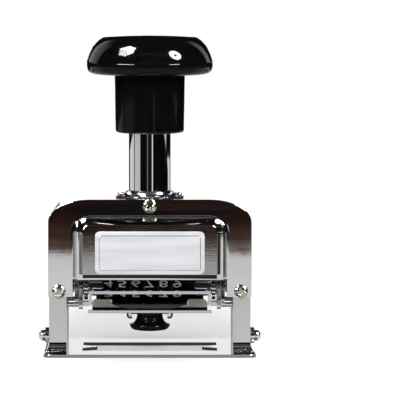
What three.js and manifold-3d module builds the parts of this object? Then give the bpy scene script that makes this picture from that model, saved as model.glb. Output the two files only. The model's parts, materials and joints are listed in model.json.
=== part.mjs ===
// Automatic numbering stamp. A head with six number wheels slides down in an arched frame,
// cam slots in the legs swing the ink tray out of its way, and a spring lifts it again.
// Millimetres, +Z up, front towards -Y, origin on the table under the middle of the base.

import * as THREE from "three";
import { mergeVertices } from "three/addons/utils/BufferGeometryUtils.js";
import Module from "manifold-3d";

const wasm = await Module();
wasm.setup();

// Clearances
const flatGap = 0.1; // between flat faces that are screwed together
const roundGap = 0.25; // around shafts, pins, screws and sleeves
const sideGap = 0.3; // between neighbours that turn or slide past each other
const overrun = 1; // how far a cutter runs past the face that it opens
const printGap = 0.1; // left between the type and the paper at the end of the stroke

// Facets
const facets = {
  knob: 36,
  tube: 30,
  hub: 24,
  screw: 10,
  pin: 10,
  arch: 8,
  corner: 4,
  edge: 3,
  land: 1,
  path: 7,
  brow: 10,
  curl: 8,
};

// Heights above the table that set the whole machine
const frame = {
  top: 58.35,
  halfWidth: 37.7,
  halfDepth: 15,
  legWidth: 6.5,
  legRoom: 2.8,
  bridgeHeight: 5.5,
  cornerAcross: 15.5,
  cornerDown: 8.4,
  innerCornerAcross: 11,
  innerCornerDown: 5.5,
  footFlare: 1.6,
  footReach: 3,
  footHeight: 3.4,
  footToe: 0.4,
  windowHalfDepth: 9,
  windowBottom: 10,
  windowTop: 46,
  windowCorner: 3,
};
const wheelAxisHeight = 24;

const base = {
  toeMargin: 0.4,
  frontReach: 4,
  thickness: 1.2,
  corner: 3,
  windowInset: 5.8,
  windowHalfDepth: 11.3,
  tongueLength: 4.2,
  tongueRootHalfWidth: 4,
  tongueTipHalfWidth: 1.3,
};

const cover = {
  thickness: 1.4,
  overhang: 0.3,
  lift: 0.4,
  bottom: 22.1,
  hoodInset: 7.7,
  hoodBottom: 29,
  hoodDrop: 5.35,
  hoodDepth: 4.6,
  hoodWall: 1.2,
  bevelWidth: 4.9,
  bevelHeight: 3.9,
  cornerAcross: 7,
  cornerDown: 7.2,
  screwInset: 3.6,
  lowScrewHeight: 24.2,
  topScrewDrop: 2,
};
// The hood's moulded edge, from its foot to its face, as shares of its width and of its depth
const bevelShares = [[0, 0], [0.4, 0.18], [0.55, 0.58], [1, 1]];

// The plate's margins are from the edges of the hood's face
const plate = { sideMargin: 4.75, lowMargin: 2.25, topMargin: 2.3, thickness: 0.8, corner: 1.8, bevel: 0.35 };

const bush = {
  flangeHalfLength: 13,
  flangeHalfWidth: 11.4,
  flangeThickness: 0.6,
  collarRadius: 11.2,
  collarHeight: 1.9,
  collarTopWall: 0.7,
  sleeveWall: 0.9,
  screwSpread: 10.8,
};

// The tube's grip is how far the knob takes it in
const tube = {
  radius: 7.95,
  wall: 1.2,
  grip: 19,
  slotHalfWidth: 1.9,
};
const knob = {
  headRadius: 23.9,
  headHeight: 14.9,
  topRadius: 17.6,
  crown: 0.6,
  skirtTopRadius: 13.35,
  skirtBottomRadius: 12.95,
  skirtHeight: 22,
  skirtEdge: 0.9,
};
const skirtClearance = 4.3; // between the skirt and the bush at the end of the stroke
// The head's side from the underside up, as shares of its radius and of its height
const browShares = [[0.87, 0], [0.95, 0.04], [0.99, 0.14], [1, 0.33], [0.92, 0.64], [0.81, 0.9]];
// The head's crown from its edge inward, as shares of the top's radius and of the crown left to climb
const crownShares = [[0.5, 0.25]];

const block = { height: 8.7, halfWidth: 7, corner: 0.4, bossWall: 1.5 };
const bumper = { height: 2.4, width: 3 };
const spring = { wire: 1.3, radius: 4.9, turns: 12, steps: 8, sides: 5 };
const seat = { thickness: 0.9 };
const plug = { height: 4 };

const shaft = { radius: 2, pinRadius: 1, collarRadius: 3.4, collarLeast: 4 };
const sidePlate = {
  thickness: 1.5,
  hubRadius: 4.8,
  neckFront: 3.7,
  neckRear: 5,
  shoulderDrop: 2.5,
  screwSpread: 4.6,
};
const roller = { radius: 2 };

const wheel = {
  digits: 10,
  rowOffset: -0.35,
  radius: 6.3,
  grooveDepth: 0.45,
  typeWidth: 3.9,
  ratchetRadius: 5.3,
  ratchetDepth: 0.9,
  ratchetWidth: 1.1,
  unitsRatchetWidth: 4.6,
  gap: 0.2,
};
const landShare = 0.74; // of a digit's pitch that stands at full radius
const toothShare = 0.2; // of a tooth's pitch that its steep side takes

// The comb that clicks the wheels into place, and the pawls that turn them
const comb = {
  fingerWidth: 0.7,
  fingerDepth: 1.1,
  reachGap: 0.4,
  rodRadius: 1,
  rodDistance: 9.2,
  rodAngle: 150,
};
const pawl = { stripDepth: 1.2, stripAbove: 0.9, stripBelow: 5, endRoom: 2.9, fingerHalfWidth: 0.5 };

// Ink carrier, which turns on the wheel shaft. Angles are in degrees from straight down.
const ink = {
  swing: 100,
  pinAngle: 60,
  pinRadius: 11,
  armThickness: 1.5,
  hubRadius: 4.8,
  bossRadius: 1.7,
  railTop: 5.2,
  railHeight: 1.5,
  railFront: 5,
  railRear: 3,
  uprightThickness: 1,
  uprightGap: 0.5,
  barReach: 12.1,
  barDepth: 1.2,
  barTop: 0.2,
  barHeight: 1.1,
};

const tray = {
  bottomGap: 0.6,
  floor: 0.5,
  wall: 0.7,
  wallFront: 12.3,
  rear: 6,
  rearWallHeight: 1.1,
  endWallHeight: 2.2,
  earHeight: 5.15,
  earCorner: 1.6,
  earWidth: 7.5,
  earDrop: 2.2,
  slopeLength: 6.7,
  sillHeight: 1.4,
  lipOverhang: 1.7,
  lipFront: 14,
  lipHeight: 1.15,
};
const pad = { thickness: 1.15, margin: 0.4 };
const pull = {
  offset: 4,
  neckRadius: 4.9,
  rimRadius: 7.75,
  neckLength: 2,
  flareLength: 3.1,
  tipLength: 2.2,
  tipRadius: 5.6,
};
const clip = {
  thickness: 0.65,
  halfWidth: 6.6,
  halfLength: 7.3,
  curlRadius: 0.8,
  curlSwing: 210,
  overhang: 0.3,
};

const rocker = {
  swing: 40,
  pinAngle: 60,
  pinRadius: 11.5,
  armThickness: 1.4,
  hubRadius: 4.8,
  bossRadius: 1.8,
  barAngle: 75,
  barRadius: 9.7,
  barDepth: 1.5,
  barHalfHeight: 1.3,
};
const camPinRadius = 0.9;

const guide = { thickness: 1.5, inset: 1.6, top: 31 };

const dial = { radius: 5, thickness: 1.2, drop: 1.75, hubRadius: 1.3 };
const pointer = {
  hubRadius: 1.9,
  length: 4.6,
  tipHalfWidth: 0.6,
  thickness: 0.9,
  gripRadius: 0.7,
  gripLength: 1.2,
};

const screws = {
  cover: { headRadius: 2.75, headHeight: 1.5, shankRadius: 1.3, length: 5 },
  bush: { headRadius: 1.6, headHeight: 1.1, shankRadius: 0.8, length: 3.6 },
  stop: { headRadius: 2.75, headHeight: 1.5, shankRadius: 1.2, length: 19.8 },
  plate: { headRadius: 1.7, headHeight: 1, shankRadius: 0.9, length: 5 },
  guide: { headRadius: 1.8, headHeight: 1, shankRadius: 1, length: 4.2 },
  side: { headRadius: 2.05, headHeight: 2.6, shankRadius: 1.2, washerRadius: 3.2, washerHeight: 1.4 },
  base: { headRadius: 2.4, headHeight: 1, shankRadius: 1.2, length: 4.6 },
};
const screwPlaces = {
  sideSetback: 4.2,
  sideHeight: 7,
  guideSetback: 4.4,
  guideHeight: 28.6,
  baseSetback: 4.5,
};
const headCrownShare = 0.35; // of a screw head's height, taken by its rounded top

// Widths that follow, from the frame inward to the carriage
const legInner = frame.halfWidth - frame.legWidth;
const guideOuter = legInner + guide.thickness;
const pinEnd = guideOuter - sideGap;
const carriageOuter = legInner - frame.legRoom;
const rollerInner = carriageOuter + sideGap;
const rockerInner = carriageOuter - rocker.armThickness;
const armInner = rockerInner - sideGap - ink.armThickness;
const plateInner = armInner - sideGap - sidePlate.thickness;
const blockHalfLength = plateInner - sideGap;
const uprightOuter = plateInner - ink.uprightGap;
const uprightInner = uprightOuter - ink.uprightThickness;
const trayHalfWidth = uprightInner - sideGap;
const baseHalfWidth = frame.halfWidth + frame.footFlare + base.toeMargin;
const hoodHalfWidth = frame.halfWidth - cover.hoodInset;
const coverScrewSpread = frame.halfWidth - cover.screwInset;

// The carriage holds as many number wheels as fit between its two shaft collars
const wheelPitch = wheel.typeWidth + wheel.ratchetWidth + wheel.gap;
const collarInner = plateInner - sideGap - shaft.collarLeast - sideGap;
const rowRoom = 2 * collarInner - wheel.typeWidth - wheel.unitsRatchetWidth;
const wheelCount = Math.floor(rowRoom / wheelPitch) + 1;
const rowWidth = (wheelCount - 1) * wheelPitch + wheel.typeWidth + wheel.unitsRatchetWidth;
const rowLeft = wheel.rowOffset - rowWidth / 2;
const rowRight = rowLeft + rowWidth;
const firstWheel = rowLeft + wheel.typeWidth / 2;

// Depths and heights that follow
const baseHalfDepth = frame.halfDepth + frame.footReach + base.frontReach;
const guideHalfDepth = frame.halfDepth - guide.inset;
const coverFront = frame.halfDepth + flatGap + cover.thickness;
const hoodFront = coverFront + cover.hoodDepth;
const hoodTop = frame.top + cover.lift - cover.hoodDrop;
const topScrewHeight = frame.top - cover.topScrewDrop;
const bridgeBottom = frame.top - frame.bridgeHeight;
const stroke = wheelAxisHeight - wheel.radius - printGap;
const bushTop = frame.top + flatGap + bush.flangeThickness + bush.collarHeight;
const bushBore = tube.radius + roundGap;
const sleeveRadius = bushBore + bush.sleeveWall;
const skirtBottom = bushTop + stroke + skirtClearance;
const headBottom = skirtBottom + knob.skirtHeight;
const tubeInner = tube.radius - tube.wall;
const bumperTop = bridgeBottom - sideGap;
const blockTop = bumperTop - bumper.height - flatGap;
const blockBottom = blockTop - block.height;
const tubeBottom = blockBottom + flatGap;
const tubeTop = skirtBottom + tube.grip;
const seatBottom = topScrewHeight + screws.stop.shankRadius + flatGap;
const plugBottom = tubeTop - plug.height;
const wheelBore = shaft.radius + roundGap;
const trayTop = wheel.radius + sideGap + pad.thickness; // depth of the tray floor's top below the shaft
const trayBottom = trayTop + tray.floor;

// Closed mesh to solid and back

function triangles(geometry) {
  const index = geometry.index.array;
  const kept = [];
  for (let i = 0; i < index.length; i += 3) {
    const [a, b, c] = [index[i], index[i + 1], index[i + 2]];
    if (a !== b && b !== c && c !== a) {
      kept.push(a, b, c);
    }
  }
  return kept;
}

function enclosedVolume(position, corners) {
  const [a, b, c] = [new THREE.Vector3(), new THREE.Vector3(), new THREE.Vector3()];
  let volume = 0;
  for (let i = 0; i < corners.length; i += 3) {
    a.fromArray(position, corners[i] * 3);
    b.fromArray(position, corners[i + 1] * 3);
    c.fromArray(position, corners[i + 2] * 3);
    volume += a.dot(b.cross(c)) / 6;
  }
  return volume;
}

function solidOf(geometry) {
  const bare = geometry.clone();
  bare.deleteAttribute("normal");
  bare.deleteAttribute("uv");
  const welded = mergeVertices(bare);
  const position = new Float32Array(welded.attributes.position.array);
  const corners = triangles(welded);
  if (enclosedVolume(position, corners) < 0) {
    corners.reverse();
  }
  const mesh = new wasm.Mesh({ numProp: 3, vertProperties: position, triVerts: new Uint32Array(corners) });
  return new wasm.Manifold(mesh);
}

function geometryOf(solid) {
  const mesh = solid.getMesh();
  const geometry = new THREE.BufferGeometry();
  geometry.setAttribute("position", new THREE.BufferAttribute(mesh.vertProperties, 3));
  geometry.setIndex(new THREE.BufferAttribute(mesh.triVerts, 1));
  const faceted = geometry.toNonIndexed();
  faceted.computeVertexNormals();
  return faceted;
}

const joined = (first, ...rest) => rest.reduce((sum, next) => sum.add(next), first);
const cut = (first, ...rest) => rest.reduce((left, next) => left.subtract(next), first);

// Outlines, as lists of points

const rad = THREE.MathUtils.degToRad;
const point = (u, v) => new THREE.Vector2(u, v);

function arc(u, v, acrossRadius, upRadius, fromDegrees, toDegrees, steps = facets.corner) {
  return Array.from({ length: steps + 1 }, (_, i) => {
    const angle = rad(fromDegrees + ((toDegrees - fromDegrees) * i) / steps);
    return point(u + acrossRadius * Math.cos(angle), v + upRadius * Math.sin(angle));
  });
}

const polar = (radius, degrees) => point(radius * Math.cos(rad(degrees)), radius * Math.sin(rad(degrees)));

function circle(u, v, radius, steps = facets.hub) {
  return arc(u, v, radius, radius, 0, 360, steps).slice(0, -1);
}

function roundedBox(left, right, bottom, top, corner) {
  return [
    ...arc(right - corner, bottom + corner, corner, corner, -90, 0),
    ...arc(right - corner, top - corner, corner, corner, 0, 90),
    ...arc(left + corner, top - corner, corner, corner, 90, 180),
    ...arc(left + corner, bottom + corner, corner, corner, 180, 270),
  ];
}

// An arch: square at the bottom, with elliptical corners at the top
function archOutline(halfWidth, bottom, top, across, down, steps) {
  return [
    point(-halfWidth, bottom),
    point(halfWidth, bottom),
    ...arc(halfWidth - across, top - down, across, down, 0, 90, steps),
    ...arc(-halfWidth + across, top - down, across, down, 90, 180, steps),
  ];
}

// Slabs of an outline. The outline's two axes come first in each name.

function slab(points, depth, holes = []) {
  const shape = new THREE.Shape(points);
  shape.holes = holes.map((hole) => new THREE.Path(hole));
  return new THREE.ExtrudeGeometry(shape, { depth, bevelEnabled: false });
}

function slabXY(points, low, high, holes) {
  return solidOf(slab(points, high - low, holes).translate(0, 0, low));
}

function slabXZ(points, front, rear, holes) {
  const upright = slab(points, rear - front, holes).rotateX(Math.PI / 2);
  return solidOf(upright.translate(0, rear, 0));
}

const standOnEdge = new THREE.Matrix4().makeBasis(
  new THREE.Vector3(0, 1, 0),
  new THREE.Vector3(0, 0, 1),
  new THREE.Vector3(1, 0, 0),
);

function slabYZ(points, left, right, holes) {
  return solidOf(slab(points, right - left, holes).applyMatrix4(standOnEdge).translate(left, 0, 0));
}

function box(left, right, front, rear, bottom, top) {
  const geometry = new THREE.BoxGeometry(right - left, rear - front, top - bottom);
  return solidOf(geometry.translate((left + right) / 2, (front + rear) / 2, (bottom + top) / 2));
}

// Turned shapes: the profile runs from the bottom to the top, as radius and height

function turned(profile, steps) {
  const points = profile.map(([radius, height]) => point(radius, height));
  return solidOf(new THREE.LatheGeometry(points, steps).rotateX(Math.PI / 2));
}

function rodZ(radius, bottom, top, u = 0, v = 0, steps = facets.pin) {
  const geometry = new THREE.CylinderGeometry(radius, radius, top - bottom, steps).rotateX(Math.PI / 2);
  return solidOf(geometry.translate(u, v, (bottom + top) / 2));
}

function rodX(radius, left, right, y = 0, z = 0, steps = facets.pin) {
  const geometry = new THREE.CylinderGeometry(radius, radius, right - left, steps).rotateZ(Math.PI / 2);
  return solidOf(geometry.translate((left + right) / 2, y, z));
}

function rodY(radius, front, rear, x = 0, z = 0, steps = facets.pin) {
  const geometry = new THREE.CylinderGeometry(radius, radius, rear - front, steps);
  return solidOf(geometry.translate(x, (front + rear) / 2, z));
}

// A body lofted through outlines that all have the same number of points
function loft(rings) {
  const count = rings[0].length;
  const vertices = rings.flat();
  const index = [];
  for (let r = 0; r + 1 < rings.length; r += 1) {
    for (let i = 0; i < count; i += 1) {
      const next = (i + 1) % count;
      const [a, b, c, d] = [r * count + i, r * count + next, (r + 1) * count + next, (r + 1) * count + i];
      index.push(a, b, c, a, c, d);
    }
  }
  const capOf = (ring) => THREE.ShapeUtils.triangulateShape(ring.map((p) => point(p.x, p.z)), []);
  const last = (rings.length - 1) * count;
  for (const [a, b, c] of capOf(rings[0])) {
    index.push(c, b, a);
  }
  for (const [a, b, c] of capOf(rings[rings.length - 1])) {
    index.push(last + a, last + b, last + c);
  }
  const geometry = new THREE.BufferGeometry().setFromPoints(vertices);
  geometry.setIndex(index);
  return solidOf(geometry);
}

// Pieces and finishes

function finish(color, roughness, metalness) {
  return new THREE.MeshStandardMaterial({ color, roughness, metalness });
}

const finishes = {
  chrome: finish(0xc9ccd0, 0.12, 1),
  satin: finish(0xb4b8bd, 0.35, 1),
  steel: finish(0x8d9196, 0.4, 1),
  dark: finish(0x2c2d30, 0.5, 0.8),
  black: finish(0x0b0b0c, 0.15, 0),
  type: finish(0x5a5c60, 0.4, 1),
  brass: finish(0xb08d4c, 0.35, 1),
  felt: finish(0x15151a, 0.95, 0),
  rubber: finish(0x1a1a1a, 0.8, 0),
  label: finish(0xcfd0d2, 0.4, 0.6),
};

function piece(group, name, solid, material) {
  const mesh = new THREE.Mesh(geometryOf(solid), material);
  mesh.name = name;
  group.add(mesh);
  return mesh;
}

const up = new THREE.Vector3(0, 0, 1);

// A screw's origin is on its seat, under the head, and its head points along +Z
function screwSolid(size, length = size.length) {
  const dome = size.headHeight * (1 - headCrownShare);
  const washer = size.washerHeight ?? 0;
  const foot = size.washerHeight ? [[size.washerRadius, 0], [size.washerRadius, washer]] : [];
  return turned(
    [
      [0, -length],
      [size.shankRadius, -length],
      [size.shankRadius, 0],
      ...foot,
      [size.headRadius, washer],
      [size.headRadius, washer + dome],
      [size.headRadius * (1 - headCrownShare), washer + size.headHeight],
      [0, washer + size.headHeight],
    ],
    facets.screw,
  );
}

function screw(group, name, solid, seatPoint, outward, material = finishes.chrome) {
  const mesh = piece(group, name, solid, material);
  mesh.position.copy(seatPoint);
  mesh.quaternion.setFromUnitVectors(up, outward);
  return mesh;
}

const at = (x, y, z) => new THREE.Vector3(x, y, z);
const sides = [
  { name: "left", sign: -1 },
  { name: "right", sign: 1 },
];

// A range along X that one side counts outward from the middle, as left and right
const spanX = (side, inner, outer) => (side.sign > 0 ? [inner, outer] : [-outer, -inner]);

// Where a point of a lever is, from its radius and its angle to straight down.
// A lever that turns to the front has a negative turn, one that turns to the rear a positive one.
function leverPoint(radius, degrees, turn) {
  return point(turn * radius * Math.sin(rad(degrees)), -radius * Math.cos(rad(degrees)));
}

// Height and depth of a cam pin in the frame, as the head goes down by a share of its stroke
function camPoint(lever, turn, share) {
  const spot = leverPoint(lever.pinRadius, lever.pinAngle + lever.swing * share, turn);
  return point(spot.x, spot.y + wheelAxisHeight - stroke * share);
}

// The slot that a cam pin sweeps through a guide plate
function camSlot(lever, turn, left, right) {
  const halfWidth = camPinRadius + roundGap;
  const spots = Array.from({ length: facets.path + 1 }, (_, i) => camPoint(lever, turn, i / facets.path));
  const parts = spots.map((spot) => rodX(halfWidth, left, right, spot.x, spot.y, facets.screw));
  for (let i = 0; i + 1 < spots.length; i += 1) {
    const along = spots[i + 1].clone().sub(spots[i]);
    const aside = point(-along.y, along.x).setLength(halfWidth);
    const corners = [
      spots[i].clone().sub(aside),
      spots[i + 1].clone().sub(aside),
      spots[i + 1].clone().add(aside),
      spots[i].clone().add(aside),
    ];
    parts.push(slabYZ(corners, left, right));
  }
  return joined(...parts);
}

// Frame

const stamp = new THREE.Group();
const mechanism = new THREE.Group();
mechanism.position.z = wheelAxisHeight;
stamp.add(mechanism);

const baseScrewSpread = (guideOuter + frame.halfWidth) / 2;
const baseScrewDepth = frame.halfDepth - screwPlaces.baseSetback;
const sideScrewDepth = frame.halfDepth - screwPlaces.sideSetback;
const guideScrewDepth = frame.halfDepth - screwPlaces.guideSetback;

function basePlate() {
  const root = legInner - base.windowInset;
  const tip = root - base.tongueLength;
  const side = (sign) => [
    point(sign * root, -sign * base.windowHalfDepth),
    point(sign * root, -sign * base.tongueRootHalfWidth),
    ...arc(sign * tip, 0, sign * -base.tongueTipHalfWidth, sign * base.tongueTipHalfWidth, -90, 90),
    point(sign * root, sign * base.tongueRootHalfWidth),
    point(sign * root, sign * base.windowHalfDepth),
  ];
  const window = [...side(1), ...side(-1)];
  const outline = roundedBox(-baseHalfWidth, baseHalfWidth, -baseHalfDepth, baseHalfDepth, base.corner);
  let solid = slabXY(outline, 0, base.thickness, [window]);
  const { headRadius, headHeight, shankRadius } = screws.base;
  const sink = turned(
    [
      [0, -overrun],
      [headRadius + roundGap, -overrun],
      [headRadius + roundGap, 0],
      [shankRadius + roundGap, headHeight],
      [shankRadius + roundGap, base.thickness + overrun],
      [0, base.thickness + overrun],
    ],
    facets.screw,
  );
  for (const x of [-baseScrewSpread, baseScrewSpread]) {
    for (const y of [-baseScrewDepth, baseScrewDepth]) {
      solid = cut(solid, sink.translate([x, y, 0]));
    }
  }
  return solid;
}

function frameYoke() {
  const bottom = base.thickness + flatGap;
  const { halfWidth, cornerAcross, cornerDown, footFlare, footReach, footHeight } = frame;
  const toeTop = bottom + frame.footToe;
  const flareTop = toeTop + footHeight;
  // Each foot flares out in a quarter hollow
  const flare = [
    ...arc(halfWidth + footFlare, flareTop, footFlare, footHeight, 180, 270),
    point(halfWidth + footFlare, bottom),
  ];
  const outer = [
    point(-legInner, bottom),
    ...flare.map((p) => point(-p.x, p.y)).reverse(),
    ...arc(-halfWidth + cornerAcross, frame.top - cornerDown, cornerAcross, cornerDown, 180, 90, facets.arch),
    ...arc(halfWidth - cornerAcross, frame.top - cornerDown, cornerAcross, cornerDown, 90, 0, facets.arch),
    ...flare,
    point(legInner, bottom),
  ];
  const { innerCornerAcross, innerCornerDown } = frame;
  const cornerX = legInner - innerCornerAcross;
  const cornerZ = bridgeBottom - innerCornerDown;
  const inner = [
    ...arc(cornerX, cornerZ, innerCornerAcross, innerCornerDown, 0, 90),
    ...arc(-cornerX, cornerZ, innerCornerAcross, innerCornerDown, 90, 180),
  ];
  const toe = frame.halfDepth + footReach;
  const far = halfWidth + footFlare + overrun;
  let solid = slabXZ([...outer, ...inner], -toe, toe);
  // The feet flare to the front and the rear too, so all above their hollows is milled away
  const milled = [
    ...arc(toe, flareTop, footReach, footHeight, 270, 180),
    point(frame.halfDepth, frame.top + overrun),
    point(toe + overrun, frame.top + overrun),
    point(toe + overrun, toeTop),
  ];
  for (const turn of [-1, 1]) {
    solid = cut(solid, slabYZ(milled.map((p) => point(turn * p.x, p.y)), -far, far));
  }
  const window = roundedBox(
    -frame.windowHalfDepth,
    frame.windowHalfDepth,
    frame.windowBottom,
    frame.windowTop,
    frame.windowCorner,
  );
  solid = cut(solid, slabYZ(window, -far, far));
  const bore = rodZ(sleeveRadius + roundGap, bridgeBottom - overrun, frame.top + overrun, 0, 0, facets.tube);
  solid = cut(solid, bore);
  const coverHole = screws.cover.shankRadius + roundGap;
  const coverHoleDepth = screws.cover.length;
  for (const x of [-coverScrewSpread, coverScrewSpread]) {
    const z = cover.lowScrewHeight;
    solid = cut(
      solid,
      rodY(coverHole, -frame.halfDepth - overrun, -frame.halfDepth + coverHoleDepth, x, z),
      rodY(coverHole, frame.halfDepth - coverHoleDepth, frame.halfDepth + overrun, x, z),
    );
  }
  solid = cut(
    solid,
    rodY(coverHole, -frame.halfDepth - overrun, -frame.halfDepth + coverHoleDepth, 0, topScrewHeight),
    rodY(screws.stop.shankRadius + roundGap, 0, frame.halfDepth + overrun, 0, topScrewHeight),
  );
  const bushHole = screws.bush.shankRadius + roundGap;
  const sideHole = screws.side.shankRadius + roundGap;
  const guideHole = screws.guide.shankRadius + roundGap;
  const baseHole = screws.base.shankRadius + roundGap;
  for (const side of sides) {
    const [near, away] = spanX(side, legInner - overrun, far);
    const x = side.sign * bush.screwSpread;
    solid = cut(
      solid,
      rodZ(bushHole, frame.top - screws.bush.length, frame.top + overrun, x),
      rodX(sideHole, near, away, -sideScrewDepth, screwPlaces.sideHeight),
    );
    const [deep, shallow] = spanX(side, legInner - overrun, legInner + screws.guide.length);
    const [pocketLeft, pocketRight] = spanX(side, legInner - overrun, guideOuter + flatGap);
    const pocketHalf = guideHalfDepth + flatGap;
    solid = cut(
      solid,
      rodX(guideHole, deep, shallow, guideScrewDepth, screwPlaces.guideHeight),
      box(pocketLeft, pocketRight, -pocketHalf, pocketHalf, bottom - overrun, guide.top + flatGap),
    );
    for (const y of [-baseScrewDepth, baseScrewDepth]) {
      const top = bottom + screws.base.length;
      solid = cut(solid, rodZ(baseHole, bottom - overrun, top, side.sign * baseScrewSpread, y));
    }
  }
  return solid;
}

// One section of the hood: an arch outline at a depth in front of the frame
function hoodSection(inset, drop, depth, bottom) {
  const across = Math.max(cover.cornerAcross - inset, sideGap);
  const down = Math.max(cover.cornerDown - drop, sideGap);
  const outline = archOutline(hoodHalfWidth - inset, bottom, hoodTop - drop, across, down);
  return outline.map((p) => at(p.x, -depth, p.y));
}

// The hood from a depth at its back to its face. Shrunk by its wall, it is the hood's hollow.
function hoodBody(shrink, bottom, back) {
  const steps = bevelShares.map(([across, rise]) => {
    const inset = cover.bevelWidth * across + shrink;
    const drop = cover.bevelHeight * across + shrink;
    return hoodSection(inset, drop, coverFront + cover.hoodDepth * rise - shrink, bottom);
  });
  return loft([hoodSection(shrink, shrink, back, bottom), ...steps]);
}

// The pressing that closes one side. The front one is open below its hood, where the ink bar swings out.
function coverSolid(isOpen) {
  const { cornerAcross, cornerDown, halfDepth } = frame;
  const halfWidth = frame.halfWidth + cover.overhang;
  const top = frame.top + cover.lift;
  const outline = archOutline(halfWidth, cover.bottom, top, cornerAcross, cornerDown, facets.arch);
  const inner = halfDepth + flatGap;
  const panel = slabXZ(outline, -coverFront, -inner);
  const raised = hoodBody(0, cover.hoodBottom, inner);
  const below = cover.bottom - overrun;
  const hollowBottom = isOpen ? below : cover.hoodBottom + cover.hoodWall;
  const cuts = [hoodBody(cover.hoodWall, hollowBottom, inner - overrun)];
  if (isOpen) {
    const mouth = hoodHalfWidth - cover.hoodWall;
    cuts.push(box(-mouth, mouth, -hoodFront - overrun, -inner + overrun, below, cover.hoodBottom));
  }
  const hole = screws.cover.shankRadius + roundGap;
  const places = [
    [-coverScrewSpread, cover.lowScrewHeight],
    [coverScrewSpread, cover.lowScrewHeight],
    [0, topScrewHeight],
  ];
  const holes = places.map(([x, z]) => rodY(hole, -coverFront - overrun, -inner + overrun, x, z));
  return cut(joined(panel, raised), ...cuts, ...holes);
}

function namePlate() {
  const halfWidth = hoodHalfWidth - cover.bevelWidth - plate.sideMargin;
  const low = cover.hoodBottom + plate.lowMargin;
  const high = hoodTop - cover.bevelHeight - plate.topMargin;
  const outline = (shrink) =>
    roundedBox(-halfWidth + shrink, halfWidth - shrink, low + shrink, high - shrink, plate.corner - shrink);
  const back = hoodFront + flatGap;
  const section = (shrink, depth) => outline(shrink).map((p) => at(p.x, -depth, p.y));
  return loft([
    section(0, back),
    section(0, back + plate.thickness - plate.bevel),
    section(plate.bevel, back + plate.thickness),
  ]);
}

function plungerBush() {
  const low = frame.top + flatGap;
  const flangeTop = low + bush.flangeThickness;
  const oval = arc(0, 0, bush.flangeHalfLength, bush.flangeHalfWidth, 0, 360, facets.tube).slice(0, -1);
  const flange = slabXY(oval, low, flangeTop);
  const topRadius = bushBore + bush.collarTopWall;
  // The collar rises from the flange in a quarter hollow
  const hollow = arc(bush.collarRadius, bushTop, bush.collarRadius - topRadius, bush.collarHeight, 270, 180);
  const collar = turned(
    [
      [0, low],
      [bush.collarRadius, low],
      [bush.collarRadius, flangeTop],
      ...hollow.slice(1).map((p) => [p.x, p.y]),
      [0, bushTop],
    ],
    facets.tube,
  );
  const sleeve = rodZ(sleeveRadius, bridgeBottom, flangeTop, 0, 0, facets.tube);
  const bore = rodZ(bushBore, bridgeBottom - overrun, bushTop + overrun, 0, 0, facets.tube);
  const stopHole = rodY(
    screws.stop.shankRadius + roundGap,
    0,
    frame.halfDepth,
    0,
    topScrewHeight,
  );
  const screwHole = screws.bush.shankRadius + roundGap;
  const spot = screws.bush.headRadius + roundGap;
  const holes = [-bush.screwSpread, bush.screwSpread].flatMap((x) => [
    rodZ(screwHole, low - overrun, flangeTop + overrun, x),
    rodZ(spot, flangeTop, bushTop + overrun, x, 0, facets.screw),
  ]);
  return cut(joined(flange, collar, sleeve), bore, stopHole, ...holes);
}

function guidePlate(left, right) {
  const bottom = base.thickness + flatGap;
  const [near, away] = [left - overrun, right + overrun];
  const slotHalf = roller.radius + sideGap;
  const rollerSlot = joined(
    rodX(slotHalf, near, away, 0, wheelAxisHeight, facets.hub),
    rodX(slotHalf, near, away, 0, wheelAxisHeight - stroke, facets.hub),
    box(near, away, -slotHalf, slotHalf, wheelAxisHeight - stroke, wheelAxisHeight),
  );
  return cut(
    box(left, right, -guideHalfDepth, guideHalfDepth, bottom, guide.top),
    rollerSlot,
    camSlot(ink, -1, near, away),
    camSlot(rocker, 1, near, away),
    rodX(screws.side.shankRadius + roundGap, near, away, -sideScrewDepth, screwPlaces.sideHeight),
    rodX(screws.guide.shankRadius + roundGap, near, away, guideScrewDepth, screwPlaces.guideHeight),
  );
}

piece(stamp, "base_plate", basePlate(), finishes.chrome);
piece(stamp, "frame_yoke", frameYoke(), finishes.satin);
piece(stamp, "front_cover", coverSolid(true), finishes.chrome);
piece(stamp, "back_cover", coverSolid(false), finishes.chrome).rotation.z = Math.PI;
piece(stamp, "nameplate", namePlate(), finishes.label);
piece(stamp, "plunger_bush", plungerBush(), finishes.chrome);

const coverScrew = screwSolid(screws.cover);
const forward = at(0, -1, 0);
const backward = at(0, 1, 0);
const coverSeat = coverFront + flatGap;
for (const side of sides) {
  const x = side.sign * coverScrewSpread;
  const z = cover.lowScrewHeight;
  screw(stamp, `front_cover_screw_${side.name}`, coverScrew, at(x, -coverSeat, z), forward);
  screw(stamp, `back_cover_screw_${side.name}`, coverScrew, at(x, coverSeat, z), backward);
}
screw(stamp, "front_cover_screw_top", coverScrew, at(0, -coverSeat, topScrewHeight), forward);
screw(stamp, "stop_screw", screwSolid(screws.stop), at(0, coverSeat, topScrewHeight), backward);

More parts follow.
